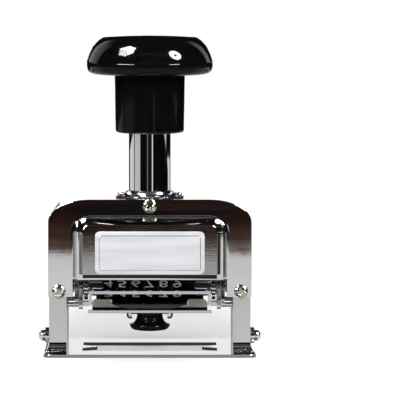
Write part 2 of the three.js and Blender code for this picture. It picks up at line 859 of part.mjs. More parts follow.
const bushScrew = screwSolid(screws.bush);
const bushSeat = frame.top + flatGap + bush.flangeThickness + flatGap;
const baseScrewSize = screws.base;
const baseScrew = turned(
  [
    [0, 0],
    [baseScrewSize.headRadius, 0],
    [baseScrewSize.shankRadius, baseScrewSize.headHeight],
    [baseScrewSize.shankRadius, baseScrewSize.length],
    [0, baseScrewSize.length],
  ],
  facets.screw,
);
const sideScrewLength = frame.legWidth + flatGap;
const sideScrew = screwSolid(screws.side, sideScrewLength);
const guideScrew = screwSolid(screws.guide);
for (const side of sides) {
  const out = at(side.sign, 0, 0);
  const [left, right] = spanX(side, legInner, guideOuter);
  piece(stamp, `guide_plate_${side.name}`, guidePlate(left, right), finishes.steel);
  screw(stamp, `bush_screw_${side.name}`, bushScrew, at(side.sign * bush.screwSpread, 0, bushSeat), up);
  const sideSeat = at(side.sign * (frame.halfWidth + flatGap), -sideScrewDepth, screwPlaces.sideHeight);
  screw(stamp, `side_screw_${side.name}`, sideScrew, sideSeat, out);
  const guideSeat = at(side.sign * (legInner - flatGap), guideScrewDepth, screwPlaces.guideHeight);
  screw(stamp, `guide_screw_${side.name}`, guideScrew, guideSeat, at(-side.sign, 0, 0), finishes.steel);
  for (const [end, y] of [["front", -baseScrewDepth], ["rear", baseScrewDepth]]) {
    const mesh = piece(stamp, `base_screw_${end}_${side.name}`, baseScrew, finishes.steel);
    mesh.position.set(side.sign * baseScrewSpread, y, 0);
  }
}

// The seat washer rests on the stop screw inside the tube
const seatSolid = rodZ(tubeInner - roundGap, seatBottom, seatBottom + seat.thickness, 0, 0, facets.hub);
piece(stamp, "spring_seat", seatSolid, finishes.steel);

// Plunger: knob, tube, spring and head block

const head = new THREE.Group();
stamp.add(head);

function knobSolid() {
  const heightOf = (share) => headBottom + knob.headHeight * share;
  const top = heightOf(1);
  const { skirtBottomRadius, skirtEdge } = knob;
  const corner = skirtBottomRadius - skirtEdge;
  const edge = arc(corner, skirtBottom + skirtEdge, skirtEdge, skirtEdge, -90, 0, facets.edge);
  const brow = new THREE.SplineCurve([
    ...browShares.map(([across, rise]) => point(knob.headRadius * across, heightOf(rise))),
    point(knob.topRadius, top - knob.crown),
  ]);
  const browPoints = brow.getPoints(facets.brow).map((p) => [Math.min(p.x, knob.headRadius), p.y]);
  const shell = turned(
    [
      [0, skirtBottom],
      ...edge.map((p) => [p.x, p.y]),
      [knob.skirtTopRadius, headBottom],
      ...browPoints,
      ...crownShares.map(([across, left]) => [knob.topRadius * across, top - knob.crown * left]),
      [0, top],
    ],
    facets.knob,
  );
  const bore = rodZ(tube.radius + roundGap, skirtBottom - overrun, tubeTop + flatGap, 0, 0, facets.tube);
  return cut(shell, bore);
}

function plungerTube() {
  const outer = rodZ(tube.radius, tubeBottom, tubeTop, 0, 0, facets.tube);
  const inner = rodZ(tubeInner, tubeBottom - overrun, tubeTop + overrun, 0, 0, facets.tube);
  const slotLow = topScrewHeight - tube.slotHalfWidth;
  const slotHigh = topScrewHeight + stroke + tube.slotHalfWidth;
  const slot = box(-tube.slotHalfWidth, tube.slotHalfWidth, 0, tube.radius + overrun, slotLow, slotHigh);
  return cut(outer, inner, slot);
}

function headBlock() {
  const { halfWidth, corner } = block;
  const outline = roundedBox(-blockHalfLength, blockHalfLength, -halfWidth, halfWidth, corner);
  const wide = tube.radius + roundGap;
  const boss = circle(0, 0, wide + block.bossWall, facets.tube);
  const body = joined(slabXY(outline, blockBottom, blockTop), slabXY(boss, blockBottom, blockTop));
  const bore = rodZ(wide, blockBottom - overrun, blockTop + overrun, 0, 0, facets.tube);
  const hole = screws.plate.shankRadius + roundGap;
  const middle = (blockBottom + blockTop) / 2;
  const holes = sides.flatMap((side) => {
    const [left, right] = spanX(side, blockHalfLength - screws.plate.length, blockHalfLength + overrun);
    return [-sidePlate.screwSpread, sidePlate.screwSpread].map((y) => rodX(hole, left, right, y, middle));
  });
  return cut(body, bore, ...holes);
}

// The coil is one unbroken tube: rings of a few points, each square to the wire
function coilSpring(bottom, top) {
  const { wire, radius, turns, steps, sides: ringSides } = spring;
  const wireRadius = wire / 2;
  const count = turns * steps;
  const low = bottom + wireRadius + flatGap;
  const high = top - wireRadius - flatGap;
  const centres = Array.from({ length: count + 1 }, (_, i) => {
    const angle = (2 * Math.PI * i) / steps;
    return at(radius * Math.cos(angle), radius * Math.sin(angle), low + ((high - low) * i) / count);
  });
  const vertices = centres.flatMap((centre, i) => {
    const angle = (2 * Math.PI * i) / steps;
    const outward = at(Math.cos(angle), Math.sin(angle), 0);
    return Array.from({ length: ringSides }, (_, k) => {
      const turn = (2 * Math.PI * k) / ringSides;
      const offset = outward.clone().multiplyScalar(wireRadius * Math.cos(turn));
      return centre.clone().add(offset).add(at(0, 0, wireRadius * Math.sin(turn)));
    });
  });
  const index = [];
  for (let i = 0; i < count; i += 1) {
    for (let k = 0; k < ringSides; k += 1) {
      const next = (k + 1) % ringSides;
      const [a, b] = [i * ringSides + k, i * ringSides + next];
      const [c, d] = [b + ringSides, a + ringSides];
      index.push(a, b, c, a, c, d);
    }
  }
  const last = count * ringSides;
  for (let k = 1; k + 1 < ringSides; k += 1) {
    index.push(0, k + 1, k, last, last + k, last + k + 1);
  }
  const least = vertices.reduce((gap, p, i) => {
    const above = vertices[i + steps * ringSides];
    return above ? Math.min(gap, above.z - p.z - wire) : gap;
  }, Infinity);
  console.log(`return spring: least gap between turns ${least.toFixed(2)} mm`);
  const geometry = new THREE.BufferGeometry().setFromPoints(vertices);
  geometry.setIndex(index);
  return solidOf(geometry);
}

piece(head, "knob", knobSolid(), finishes.black);
piece(head, "plunger_tube", plungerTube(), finishes.chrome);
piece(head, "head_block", headBlock(), finishes.steel);
const plugSolid = rodZ(tubeInner - roundGap, plugBottom, plugBottom + plug.height, 0, 0, facets.hub);
piece(head, "tube_plug", plugSolid, finishes.steel);
piece(head, "return_spring", coilSpring(seatBottom + seat.thickness, plugBottom), finishes.steel);
const bumperOuter = circle(0, 0, tube.radius + roundGap + bumper.width, facets.tube);
const bumperInner = circle(0, 0, tube.radius + roundGap, facets.tube);
const bumperSolid = slabXY(bumperOuter, bumperTop - bumper.height, bumperTop, [bumperInner]);
piece(head, "bumper_ring", bumperSolid, finishes.rubber);

// Wheel carriage, with the wheel shaft at its origin

const carriage = new THREE.Group();
mechanism.add(carriage);

const plateTop = blockTop - wheelAxisHeight;
const plateShoulder = blockBottom - wheelAxisHeight;
const plateScrewLift = (plateTop + plateShoulder) / 2;
const dialDepth = (sidePlate.neckRear - sidePlate.neckFront) / 2;
const dialLift = plateShoulder - dial.drop;

function sidePlateSolid(side) {
  const [left, right] = spanX(side, plateInner, plateInner + sidePlate.thickness);
  const [near, away] = [left - overrun, right + overrun];
  const shoulder = plateShoulder - sidePlate.shoulderDrop;
  const neck = [
    point(-sidePlate.neckFront, 0),
    point(sidePlate.neckRear, 0),
    point(sidePlate.neckRear, shoulder),
    point(block.halfWidth, plateShoulder),
    point(block.halfWidth, plateTop),
    point(-block.halfWidth, plateTop),
    point(-block.halfWidth, plateShoulder),
    point(-sidePlate.neckFront, shoulder),
  ];
  const hole = screws.plate.shankRadius + roundGap;
  const rodSpot = leverPoint(comb.rodDistance, comb.rodAngle, 1);
  const cuts = [
    rodX(shaft.radius + roundGap, near, away),
    rodX(hole, near, away, -sidePlate.screwSpread, plateScrewLift),
    rodX(hole, near, away, sidePlate.screwSpread, plateScrewLift),
    rodX(comb.rodRadius + roundGap, near, away, rodSpot.x, rodSpot.y),
  ];
  if (side.sign < 0) {
    cuts.push(rodX(dial.hubRadius + roundGap, near, away, dialDepth, dialLift));
  }
  const hub = slabYZ(circle(0, 0, sidePlate.hubRadius), left, right);
  return cut(joined(slabYZ(neck, left, right), hub), ...cuts);
}

// The shaft is turned: full radius across the carriage, thinner where the rollers sit
function wheelShaft() {
  const body = rollerInner - sideGap;
  return joined(
    rodX(shaft.radius, -body, body, 0, 0, facets.hub),
    rodX(shaft.pinRadius, -pinEnd, pinEnd),
  );
}

function ringX(outer, inner, left, right) {
  return slabYZ(circle(0, 0, outer), left, right, [circle(0, 0, inner, facets.screw)]);
}

// Number wheel: ten raised lands for the digits, and a ratchet with ten teeth beside them.
// One land points straight down, at the paper.
function numberWheel(ratchetWidth) {
  const step = 360 / wheel.digits;
  const half = (step * landShare) / 2;
  const crest = wheel.ratchetRadius;
  const rim = [];
  const teeth = [];
  for (let digit = 0; digit < wheel.digits; digit += 1) {
    const groove = digit * step;
    const centre = groove + step / 2;
    const tip = centre + step * (1 - toothShare);
    rim.push(polar(wheel.radius - wheel.grooveDepth, groove));
    rim.push(...arc(0, 0, wheel.radius, wheel.radius, centre - half, centre + half, facets.land));
    teeth.push(polar(crest - wheel.ratchetDepth, centre));
    teeth.push(polar(crest, tip - step * toothShare));
    teeth.push(polar(crest, tip));
  }
  const face = wheel.typeWidth / 2;
  const type = slabYZ(rim, -face, face);
  const ratchet = slabYZ(teeth, 0, face + ratchetWidth);
  const bore = rodX(wheelBore, -face - overrun, face + ratchetWidth + overrun);
  return cut(joined(type, ratchet), bore);
}

// Places across the row where a finger can reach the ratchet beside each wheel's rim
const fingerPlaces = Array.from({ length: wheelCount }, (_, i) => {
  const rimEnd = firstWheel + i * wheelPitch + wheel.typeWidth / 2;
  return rimEnd + (wheelPitch - wheel.typeWidth) / 2;
});

function fingers(fromRadius, toRadius, halfHeight) {
  return fingerPlaces.map((x) => {
    const [left, right] = [x - comb.fingerWidth / 2, x + comb.fingerWidth / 2];
    return box(left, right, -halfHeight, halfHeight, -toRadius, -fromRadius);
  });
}

// Turns a shape that hangs straight down to its angle, to the front or the rear
const swungTo = (solid, degrees, turn) => solid.rotate([turn * degrees, 0, 0]);

function detentComb() {
  const reach = wheel.ratchetRadius + comb.reachGap;
  const rod = rodX(comb.rodRadius, -plateInner, plateInner, 0, -comb.rodDistance, facets.screw);
  const hanging = joined(rod, ...fingers(reach, comb.rodDistance, comb.fingerDepth / 2));
  return swungTo(hanging, comb.rodAngle, 1);
}

for (const side of sides) {
  piece(carriage, `side_plate_${side.name}`, sidePlateSolid(side), finishes.steel);
  const outerFace = plateInner + sidePlate.thickness + flatGap;
  for (const [end, y] of [["front", -sidePlate.screwSpread], ["rear", sidePlate.screwSpread]]) {
    const seatPoint = at(side.sign * outerFace, y, plateScrewLift);
    const name = `side_plate_screw_${end}_${side.name}`;
    screw(carriage, name, screwSolid(screws.plate), seatPoint, at(side.sign, 0, 0), finishes.steel);
  }
  const [left, right] = spanX(side, rollerInner, pinEnd);
  const rollerSolid = ringX(roller.radius, shaft.pinRadius + roundGap, left, right);
  piece(carriage, `guide_roller_${side.name}`, rollerSolid, finishes.brass);
}
piece(carriage, "wheel_shaft", wheelShaft(), finishes.steel);
const collarBore = shaft.radius + roundGap;
const leftCollar = ringX(shaft.collarRadius, collarBore, -plateInner + sideGap, rowLeft - sideGap);
const rightCollar = ringX(shaft.collarRadius, collarBore, rowRight + sideGap, plateInner - sideGap);
piece(carriage, "shaft_collar_left", leftCollar, finishes.steel);
piece(carriage, "shaft_collar_right", rightCollar, finishes.steel);
piece(carriage, "detent_comb", detentComb(), finishes.steel);

for (let i = 0; i < wheelCount; i += 1) {
  const isUnits = i === wheelCount - 1;
  const ratchetWidth = isUnits ? wheel.unitsRatchetWidth : wheel.ratchetWidth;
  const mesh = piece(carriage, `number_wheel_${i + 1}`, numberWheel(ratchetWidth), finishes.type);
  mesh.position.x = firstWheel + i * wheelPitch;
}

// Repeat dial on the left side plate, and the pointer that is set on it

const dialFace = plateInner + sidePlate.thickness + sideGap;
const dialGroup = new THREE.Group();
dialGroup.position.set(-dialFace, dialDepth, dialLift);
carriage.add(dialGroup);
const dialSolid = joined(
  rodX(dial.radius, -dial.thickness, 0, 0, 0, facets.hub),
  rodX(dial.hubRadius, -dial.thickness, sidePlate.thickness + sideGap, 0, 0, facets.screw),
);
piece(dialGroup, "repeat_dial", dialSolid, finishes.label);

function repeatPointer() {
  const near = -dial.thickness - flatGap;
  const outer = near - pointer.thickness;
  const lever = [
    point(-pointer.hubRadius, 0),
    point(pointer.hubRadius, 0),
    point(pointer.tipHalfWidth, pointer.length),
    point(-pointer.tipHalfWidth, pointer.length),
  ];
  const gripLift = pointer.length - pointer.gripRadius - pointer.tipHalfWidth;
  return joined(
    slabYZ(lever, outer, near),
    rodX(pointer.hubRadius, outer, near, 0, 0, facets.screw),
    rodX(pointer.gripRadius, outer - pointer.gripLength, near, 0, gripLift),
  );
}
piece(dialGroup, "repeat_pointer", repeatPointer(), finishes.brass);

// Ink carrier: outer arms on the shaft, rails under the side plates, and a bar in front of the wheels

function inkCarrier() {
  const pinSpot = leverPoint(ink.pinRadius, ink.pinAngle, -1);
  const railBottom = -ink.railTop - ink.railHeight;
  const parts = sides.flatMap((side) => {
    const [left, right] = spanX(side, armInner, armInner + ink.armThickness);
    const [railLeft, railRight] = spanX(side, uprightInner, armInner + ink.armThickness);
    const [upLeft, upRight] = spanX(side, uprightInner, uprightOuter);
    const [pinLeft, pinRight] = spanX(side, armInner, pinEnd);
    const lever = [
      point(ink.hubRadius, 0),
      point(-ink.hubRadius, 0),
      point(pinSpot.x - ink.bossRadius, pinSpot.y),
      point(pinSpot.x, railBottom),
      point(ink.railRear, railBottom),
    ];
    const upright = [
      point(-ink.barReach, -ink.barTop),
      point(-ink.barReach, -ink.railTop),
      point(-ink.railFront, railBottom),
      point(ink.railRear, railBottom),
      point(ink.railRear, -ink.railTop),
      point(-ink.railFront, -ink.railTop + ink.railHeight),
      point(-ink.barReach + ink.barDepth, -ink.barTop - ink.barHeight),
      point(-ink.barReach + ink.barDepth, -ink.barTop),
    ];
    return [
      slabYZ(lever.reverse(), left, right),
      slabYZ(circle(0, 0, ink.hubRadius), left, right),
      slabYZ(circle(pinSpot.x, pinSpot.y, ink.bossRadius, facets.screw), left, right),
      box(railLeft, railRight, -ink.railFront, ink.railRear, railBottom, -ink.railTop),
      slabYZ(upright, upLeft, upRight),
      rodX(camPinRadius, pinLeft, pinRight, pinSpot.x, pinSpot.y),
    ];
  });
  const bar = box(
    -uprightOuter,
    uprightOuter,
    -ink.barReach,
    -ink.barReach + ink.barDepth,
    -ink.barTop - ink.barHeight,
    -ink.barTop,
  );
  const far = armInner + ink.armThickness + overrun;
  return cut(joined(...parts, bar), rodX(shaft.radius + roundGap, -far, far, 0, 0, facets.screw));
}

// Pad tray: a shallow dish whose front wall has two ears, with a rolled lip in front of them
function padTray() {
  const { wall, rear, wallFront, lipFront } = tray;
  const halfWidth = trayHalfWidth;
  const lipHalfWidth = halfWidth + tray.lipOverhang;
  const earInner = halfWidth - tray.earWidth;
  const bottom = -trayBottom;
  const floorTop = -trayTop;
  const earTop = bottom + tray.earHeight;
  const sill = bottom + tray.sillHeight;
  const slope = earTop - tray.earDrop;
  const { earCorner } = tray;
  const half = [
    point(earInner - tray.slopeLength, sill),
    point(earInner, slope),
    point(earInner, earTop),
    ...arc(halfWidth - earCorner, earTop - earCorner, earCorner, earCorner, 90, 0),
    point(halfWidth, bottom),
  ];
  const front = [...half.map((p) => point(-p.x, p.y)).reverse(), ...half];
  const endWalls = sides.map((side) => {
    const [left, right] = spanX(side, halfWidth - wall, halfWidth);
    return box(left, right, -wallFront, rear, bottom, bottom + tray.endWallHeight);
  });
  return joined(
    box(-halfWidth, halfWidth, -lipFront, rear, bottom, floorTop),
    slabXZ(front, -wallFront, -wallFront + wall),
    box(-halfWidth, halfWidth, rear - wall, rear, bottom, floorTop + tray.rearWallHeight),
    box(-lipHalfWidth, lipHalfWidth, -lipFront, -lipFront + wall, bottom, bottom + tray.lipHeight),
    ...endWalls,
  );
}

function inkPad() {
  const front = -tray.wallFront + tray.wall + pad.margin;
  const rear = tray.rear - tray.wall - pad.margin;
  const low = -trayTop + flatGap;
  const halfWidth = trayHalfWidth - tray.wall - pad.margin;
  return box(-halfWidth, halfWidth, front, rear, low, low + pad.thickness - flatGap);
}

function trayKnob() {
  const top = -trayBottom - flatGap;
  const { neckRadius, rimRadius, tipRadius } = pull;
  const neckEnd = top - pull.neckLength;
  const rim = neckEnd - pull.flareLength;
  const dome = arc(tipRadius, rim, rimRadius - tipRadius, pull.tipLength, -90, 0);
  const hollow = arc(rimRadius, neckEnd, rimRadius - neckRadius, pull.flareLength, 270, 180);
  const profile = [...dome, ...hollow].map((p) => [p.x, p.y]);
  const knobTurned = turned([[0, rim - pull.tipLength], ...profile, [neckRadius, top], [0, top]], facets.hub);
  return knobTurned.translate([0, -pull.offset, 0]);
}

// A spring strip with a hole for the knob's neck and both ends curled down
function knobClip() {
  const top = -trayBottom - flatGap;
  const low = top - clip.thickness;
  const rolled = clip.curlRadius + clip.thickness;
  const curlEnd = 90 - clip.curlSwing;
  const curl = [
    ...arc(clip.halfLength, top - rolled, rolled, rolled, 90, curlEnd, facets.curl),
    ...arc(clip.halfLength, top - rolled, clip.curlRadius, clip.curlRadius, curlEnd, 90, facets.curl),
  ];
  const curled = sides.map((side) => {
    const points = curl.map((p) => point(side.sign * p.x, p.y));
    const outline = side.sign > 0 ? points.reverse() : points;
    const halfWidth = clip.halfWidth / 2;
    return slabXZ(outline, -pull.offset - halfWidth, -pull.offset + halfWidth);
  });
  const strip = box(
    -clip.halfLength,
    clip.halfLength,
    -pull.offset - clip.halfWidth,
    -pull.offset + clip.halfWidth,
    low,
    top,
  );
  const holeRadius = pull.neckRadius + clip.overhang;
  const hole = rodZ(holeRadius, low - overrun, top + overrun, 0, -pull.offset, facets.hub);
  return cut(joined(strip, ...curled), hole);
}

piece(mechanism, "ink_carrier", inkCarrier(), finishes.chrome);
const trayGroup = new THREE.Group();
mechanism.add(trayGroup);
piece(trayGroup, "pad_tray", padTray(), finishes.satin);
piece(trayGroup, "ink_pad", inkPad(), finishes.felt);
piece(trayGroup, "tray_knob", trayKnob(), finishes.black);
piece(trayGroup, "knob_clip", knobClip(), finishes.steel);

// Pawl rocker behind the wheels, with the plate that carries its pawls and hides the row from behind

function pawlRocker() {
  const pinSpot = leverPoint(rocker.pinRadius, rocker.pinAngle, 1);
  const outerRadius = rocker.barRadius + rocker.barDepth;
  const barSpread = THREE.MathUtils.radToDeg(rocker.barHalfHeight / outerRadius);
  const barBelow = leverPoint(outerRadius, rocker.barAngle - barSpread, 1);
  const barAbove = leverPoint(outerRadius, rocker.barAngle + barSpread, 1);
  const arms = sides.flatMap((side) => {
    const [left, right] = spanX(side, rockerInner, rockerInner + rocker.armThickness);
    const [pinLeft, pinRight] = spanX(side, rockerInner, pinEnd);
    const lever = [
      point(0, -rocker.hubRadius),
      point(pinSpot.x, pinSpot.y - rocker.bossRadius),
      point(pinSpot.x + rocker.bossRadius, pinSpot.y),
      barBelow,
      barAbove,
      point(0, rocker.hubRadius),
    ];
    return [
      slabYZ(lever, left, right),
      slabYZ(circle(0, 0, rocker.hubRadius), left, right),
      slabYZ(circle(pinSpot.x, pinSpot.y, rocker.bossRadius, facets.screw), left, right),
      rodX(camPinRadius, pinLeft, pinRight, pinSpot.x, pinSpot.y),
    ];
  });
  const far = carriageOuter;
  const { barHalfHeight, barRadius } = rocker;
  const hangingBar = box(-far, far, -barHalfHeight, barHalfHeight, -outerRadius, -barRadius);
  const bar = swungTo(hangingBar, rocker.barAngle, 1);
  const bore = rodX(shaft.radius + roundGap, -far - overrun, far + overrun, 0, 0, facets.screw);
  return cut(joined(...arms, bar), bore);
}

function pawlComb() {
  const outer = rocker.barRadius - flatGap;
  const inner = outer - pawl.stripDepth;
  const end = plateInner - pawl.endRoom;
  const strip = box(-end, end, -pawl.stripBelow, pawl.stripAbove, -outer, -inner);
  const reach = wheel.ratchetRadius + comb.reachGap;
  return swungTo(joined(strip, ...fingers(reach, inner, pawl.fingerHalfWidth)), rocker.barAngle, 1);
}

piece(mechanism, "pawl_rocker", pawlRocker(), finishes.steel);
piece(mechanism, "pawl_comb", pawlComb(), finishes.steel);

export default stamp;
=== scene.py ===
"""The looks of an automatic numbering stamp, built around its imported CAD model.

Metres, +Z up, front towards -Y, origin on the table under the middle of the base.
Each CAD piece is shown as a copy with rounded edges and its own finish. The number wheels
get raised digits, the screws their recesses, and the plate its raised panel.
"""

import json
import math
from contextlib import contextmanager

import bmesh
import bpy
from mathutils import Matrix, Vector


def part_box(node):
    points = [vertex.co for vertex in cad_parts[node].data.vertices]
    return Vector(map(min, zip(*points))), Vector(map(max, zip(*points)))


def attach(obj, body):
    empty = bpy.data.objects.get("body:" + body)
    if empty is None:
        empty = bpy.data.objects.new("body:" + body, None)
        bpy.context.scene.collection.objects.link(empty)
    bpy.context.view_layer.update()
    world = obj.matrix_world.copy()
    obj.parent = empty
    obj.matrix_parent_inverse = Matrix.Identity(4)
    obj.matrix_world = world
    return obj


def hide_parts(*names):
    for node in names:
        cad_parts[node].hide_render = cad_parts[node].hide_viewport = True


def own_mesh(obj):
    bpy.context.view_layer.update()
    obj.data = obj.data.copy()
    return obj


MM = 0.001

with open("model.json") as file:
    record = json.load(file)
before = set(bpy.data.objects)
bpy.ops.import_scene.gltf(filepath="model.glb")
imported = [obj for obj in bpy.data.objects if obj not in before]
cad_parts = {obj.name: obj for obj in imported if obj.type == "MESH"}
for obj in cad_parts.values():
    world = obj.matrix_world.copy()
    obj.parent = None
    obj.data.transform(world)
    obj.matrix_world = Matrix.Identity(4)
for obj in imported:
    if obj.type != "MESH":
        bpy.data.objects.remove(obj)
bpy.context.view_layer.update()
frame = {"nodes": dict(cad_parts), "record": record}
record = frame["record"]
nodes = frame["nodes"]
body_of = {node: body for body, members in record["behaviour"]["bodies"].items() for node in members}
slot_of = {part["node"]: part["material_slot"] for part in record["subparts"]}


def srgb(red, green, blue):
    """A colour picked as a screen colour, in the linear values that a shader takes."""

    def linear(channel):
        share = channel / 255
        return share / 12.92 if share <= 0.04045 else ((share + 0.055) / 1.055) ** 2.4

    return (linear(red), linear(green), linear(blue), 1)


# Node materials

NOISE_LOW = 0.3  # most values of a noise lie between these two
NOISE_HIGH = 0.7
NOISE_DETAIL = 4.0
STAIN_SPAN = 6  # grains of a metal's surface across one of its stains
SCRATCHES_PER_GRAIN = 4
SCRATCH_DETAIL = 2.0
# How a grain is stretched along the axes: a low value makes it long
ALONG_X = (0.12, 1, 1)
ALONG_Z = (1, 1, 0.08)
EVEN = (1, 1, 1)


def new_material(name):
    """A material with its nodes and their links."""
    material = bpy.data.materials.new(name)
    material.use_nodes = True
    return material, material.node_tree.nodes, material.node_tree.links


def noise(tree_nodes, links, scale, stretch=EVEN, detail=NOISE_DETAIL):
    """Noise in the object's own space. Scale is in cells per metre."""
    coordinates = tree_nodes.new("ShaderNodeTexCoord")
    mapping = tree_nodes.new("ShaderNodeMapping")
    mapping.inputs["Scale"].default_value = stretch
    texture = tree_nodes.new("ShaderNodeTexNoise")
    texture.inputs["Scale"].default_value = scale
    texture.inputs["Detail"].default_value = detail
    links.new(coordinates.outputs["Object"], mapping.inputs["Vector"])
    links.new(mapping.outputs["Vector"], texture.inputs["Vector"])
    return texture.outputs["Fac"]


def spread(tree_nodes, links, factor, low, high):
    """Maps a noise to the range from low to high."""
    ranged = tree_nodes.new("ShaderNodeMapRange")
    ranged.inputs["From Min"].default_value = NOISE_LOW
    ranged.inputs["From Max"].default_value = NOISE_HIGH
    ranged.inputs["To Min"].default_value = low
    ranged.inputs["To Max"].default_value = high
    links.new(factor, ranged.inputs["Value"])
    return ranged.outputs["Result"]


def colour_spread(tree_nodes, links, factor, dark, light):
    """Blends from dark to light by a factor."""
    mix = tree_nodes.new("ShaderNodeMix")
    mix.data_type = "RGBA"
    mix.inputs["A"].default_value = dark
    mix.inputs["B"].default_value = light
    links.new(factor, mix.inputs["Factor"])
    return mix.outputs["Result"]


def bump(tree_nodes, links, principled, height, distance):
    """Gives a surface small waves, up to distance high."""
    node = tree_nodes.new("ShaderNodeBump")
    node.inputs["Distance"].default_value = distance
    links.new(height, node.inputs["Height"])
    links.new(node.outputs["Normal"], principled.inputs["Normal"])


def metal(name, dark, light, rough, grain, stretch, relief, fine=0.0, metallic=1.0):
    """Plated or bare metal, from a row of METALS."""
    material, tree_nodes, links = new_material(name)
    principled = tree_nodes["Principled BSDF"]
    principled.inputs["Metallic"].default_value = metallic
    waves = noise(tree_nodes, links, grain, stretch)
    stains = noise(tree_nodes, links, grain / STAIN_SPAN, stretch)
    tint = spread(tree_nodes, links, stains, 0, 1)
    colour = colour_spread(tree_nodes, links, tint, srgb(*dark), srgb(*light))
    links.new(colour, principled.inputs["Base Color"])
    links.new(spread(tree_nodes, links, stains, *rough), principled.inputs["Roughness"])
    if fine:
        scratches = noise(tree_nodes, links, grain * SCRATCHES_PER_GRAIN, stretch, SCRATCH_DETAIL)
        add = tree_nodes.new("ShaderNodeMath")
        add.operation = "MULTIPLY_ADD"
        add.inputs[1].default_value = fine
        links.new(scratches, add.inputs[0])
        links.new(waves, add.inputs[2])
        waves = add.outputs[0]
    bump(tree_nodes, links, principled, waves, relief * MM)
    return material


def plastic(name, dark, light, rough, grain, relief, index):
    """Plastic or rubber, from a row of PLASTICS."""
    material, tree_nodes, links = new_material(name)
    principled = tree_nodes["Principled BSDF"]
    principled.inputs["IOR"].default_value = index
    cloud = noise(tree_nodes, links, grain)
    tint = spread(tree_nodes, links, cloud, 0, 1)
    colour = colour_spread(tree_nodes, links, tint, srgb(*dark), srgb(*light))
    links.new(colour, principled.inputs["Base Color"])
    links.new(spread(tree_nodes, links, cloud, *rough), principled.inputs["Roughness"])
    bump(tree_nodes, links, principled, cloud, relief * MM)
    return material


FELT_DARK = srgb(8, 8, 12)
FELT_LIGHT = srgb(26, 26, 34)
FELT_ROUGHNESS = 0.85
FELT_SHEEN = 0.05
FIBRES_PER_METRE = 2600
FIBRE_DETAIL = 6.0
FIBRE_RELIEF = 0.12 * MM


def felt(name):
    """The ink pad's cloth, soaked with ink."""
    material, tree_nodes, links = new_material(name)
    principled = tree_nodes["Principled BSDF"]
    principled.inputs["Roughness"].default_value = FELT_ROUGHNESS
    principled.inputs["Sheen Weight"].default_value = FELT_SHEEN
    fibres = noise(tree_nodes, links, FIBRES_PER_METRE, detail=FIBRE_DETAIL)
    tint = spread(tree_nodes, links, fibres, 0, 1)
    colour = colour_spread(tree_nodes, links, tint, FELT_DARK, FELT_LIGHT)
    links.new(colour, principled.inputs["Base Color"])
    bump(tree_nodes, links, principled, fibres, FIBRE_RELIEF)
    return material


# Darkest and lightest screen colour, least and most roughness, grain in cells per metre, the
# grain's stretch and the height of its waves in mm. Some rows go on with the strength of fine
# scratches, otherwise 0, and how metallic it is, otherwise 1
METALS = {
    "cover_chrome": ((218, 218, 220), (230, 230, 232), (0.03, 0.08), 900, ALONG_X, 0.002, 0.25),
    "plate_chrome": ((216, 217, 220), (232, 233, 236), (0.05, 0.12), 500, EVEN, 0.002),
    "tube_chrome": ((220, 220, 224), (236, 236, 240), (0.02, 0.06), 400, ALONG_Z, 0.0008),
    "brushed_chrome": ((168, 167, 166), (188, 187, 186), (0.05, 0.1), 1700, ALONG_X, 0.005, 0.4),
    "leg_steel": ((212, 213, 215), (226, 227, 229), (0.13, 0.22), 1500, ALONG_Z, 0.003, 0.3),
    "base_steel": ((148, 150, 157), (162, 164, 171), (0.07, 0.14), 700, ALONG_X, 0.003),
    "bright_steel": ((206, 207, 210), (226, 227, 230), (0.08, 0.18), 700, ALONG_X, 0.003),
    "machined_steel": ((128, 130, 134), (166, 168, 172), (0.22, 0.38), 1400, EVEN, 0.006, 0.2),
    "dull_nickel": ((150, 142, 134), (196, 190, 184), (0.26, 0.42), 420, EVEN, 0.008, 0.2),
    "type_metal": ((20, 19, 20), (46, 44, 45), (0.3, 0.5), 900, EVEN, 0.01),
    "digit_metal": ((220, 218, 216), (242, 240, 238), (0.2, 0.4), 900, EVEN, 0.004, 0.0, 0.4),
    # Dark metal for painted shade: the lowest digits of the wheels, where the printing digit is also
    # inked, and the foot of the tray's front wall
    "ink_and_shade_metal": ((12, 11, 14), (30, 28, 32), (0.25, 0.45), 900, EVEN, 0.004),
    "brass": ((150, 128, 88), (184, 164, 122), (0.2, 0.34), 900, EVEN, 0.004),
    "blued_steel": ((34, 36, 42), (62, 62, 66), (0.16, 0.3), 1200, EVEN, 0.004),
    "screw_nickel": ((176, 173, 162), (198, 195, 186), (0.06, 0.14), 1600, EVEN, 0.004),
    "lever_chrome": ((218, 219, 222), (234, 235, 238), (0.03, 0.07), 600, EVEN, 0.004),
    "label_metal": ((182, 183, 186), (192, 193, 196), (0.42, 0.52), 2200, ALONG_X, 0.004, 0.3, 0.3),
}

# The knobs' index is low, so that only lamps show on them, as in the photo
KNOB_INDEX = 1.22
RUBBER_INDEX = 1.5

# Darkest and lightest screen colour, least and most roughness, clouds in cells per metre, their
# height in mm, and the index of refraction
PLASTICS = {
    "black_plastic": ((6, 6, 7), (10, 10, 12), (0.04, 0.08), 300, 0.002, KNOB_INDEX),
    "rubber": ((22, 22, 22), (34, 33, 32), (0.6, 0.75), 1500, 0.02, RUBBER_INDEX),
}

MATERIALS = {name: metal(name, *look) for name, look in METALS.items()}
MATERIALS.update({name: plastic(name, *look) for name, look in PLASTICS.items()})
MATERIALS["felt"] = felt("felt")

BY_SLOT = {
    "chrome": "plate_chrome",
    "satin_steel": "leg_steel",
    "steel": "machined_steel",
    "type_metal": "type_metal",
    "brass": "brass",
    "black_plastic": "black_plastic",
    "felt": "felt",
    "rubber": "rubber",
    "label_metal": "label_metal",
}
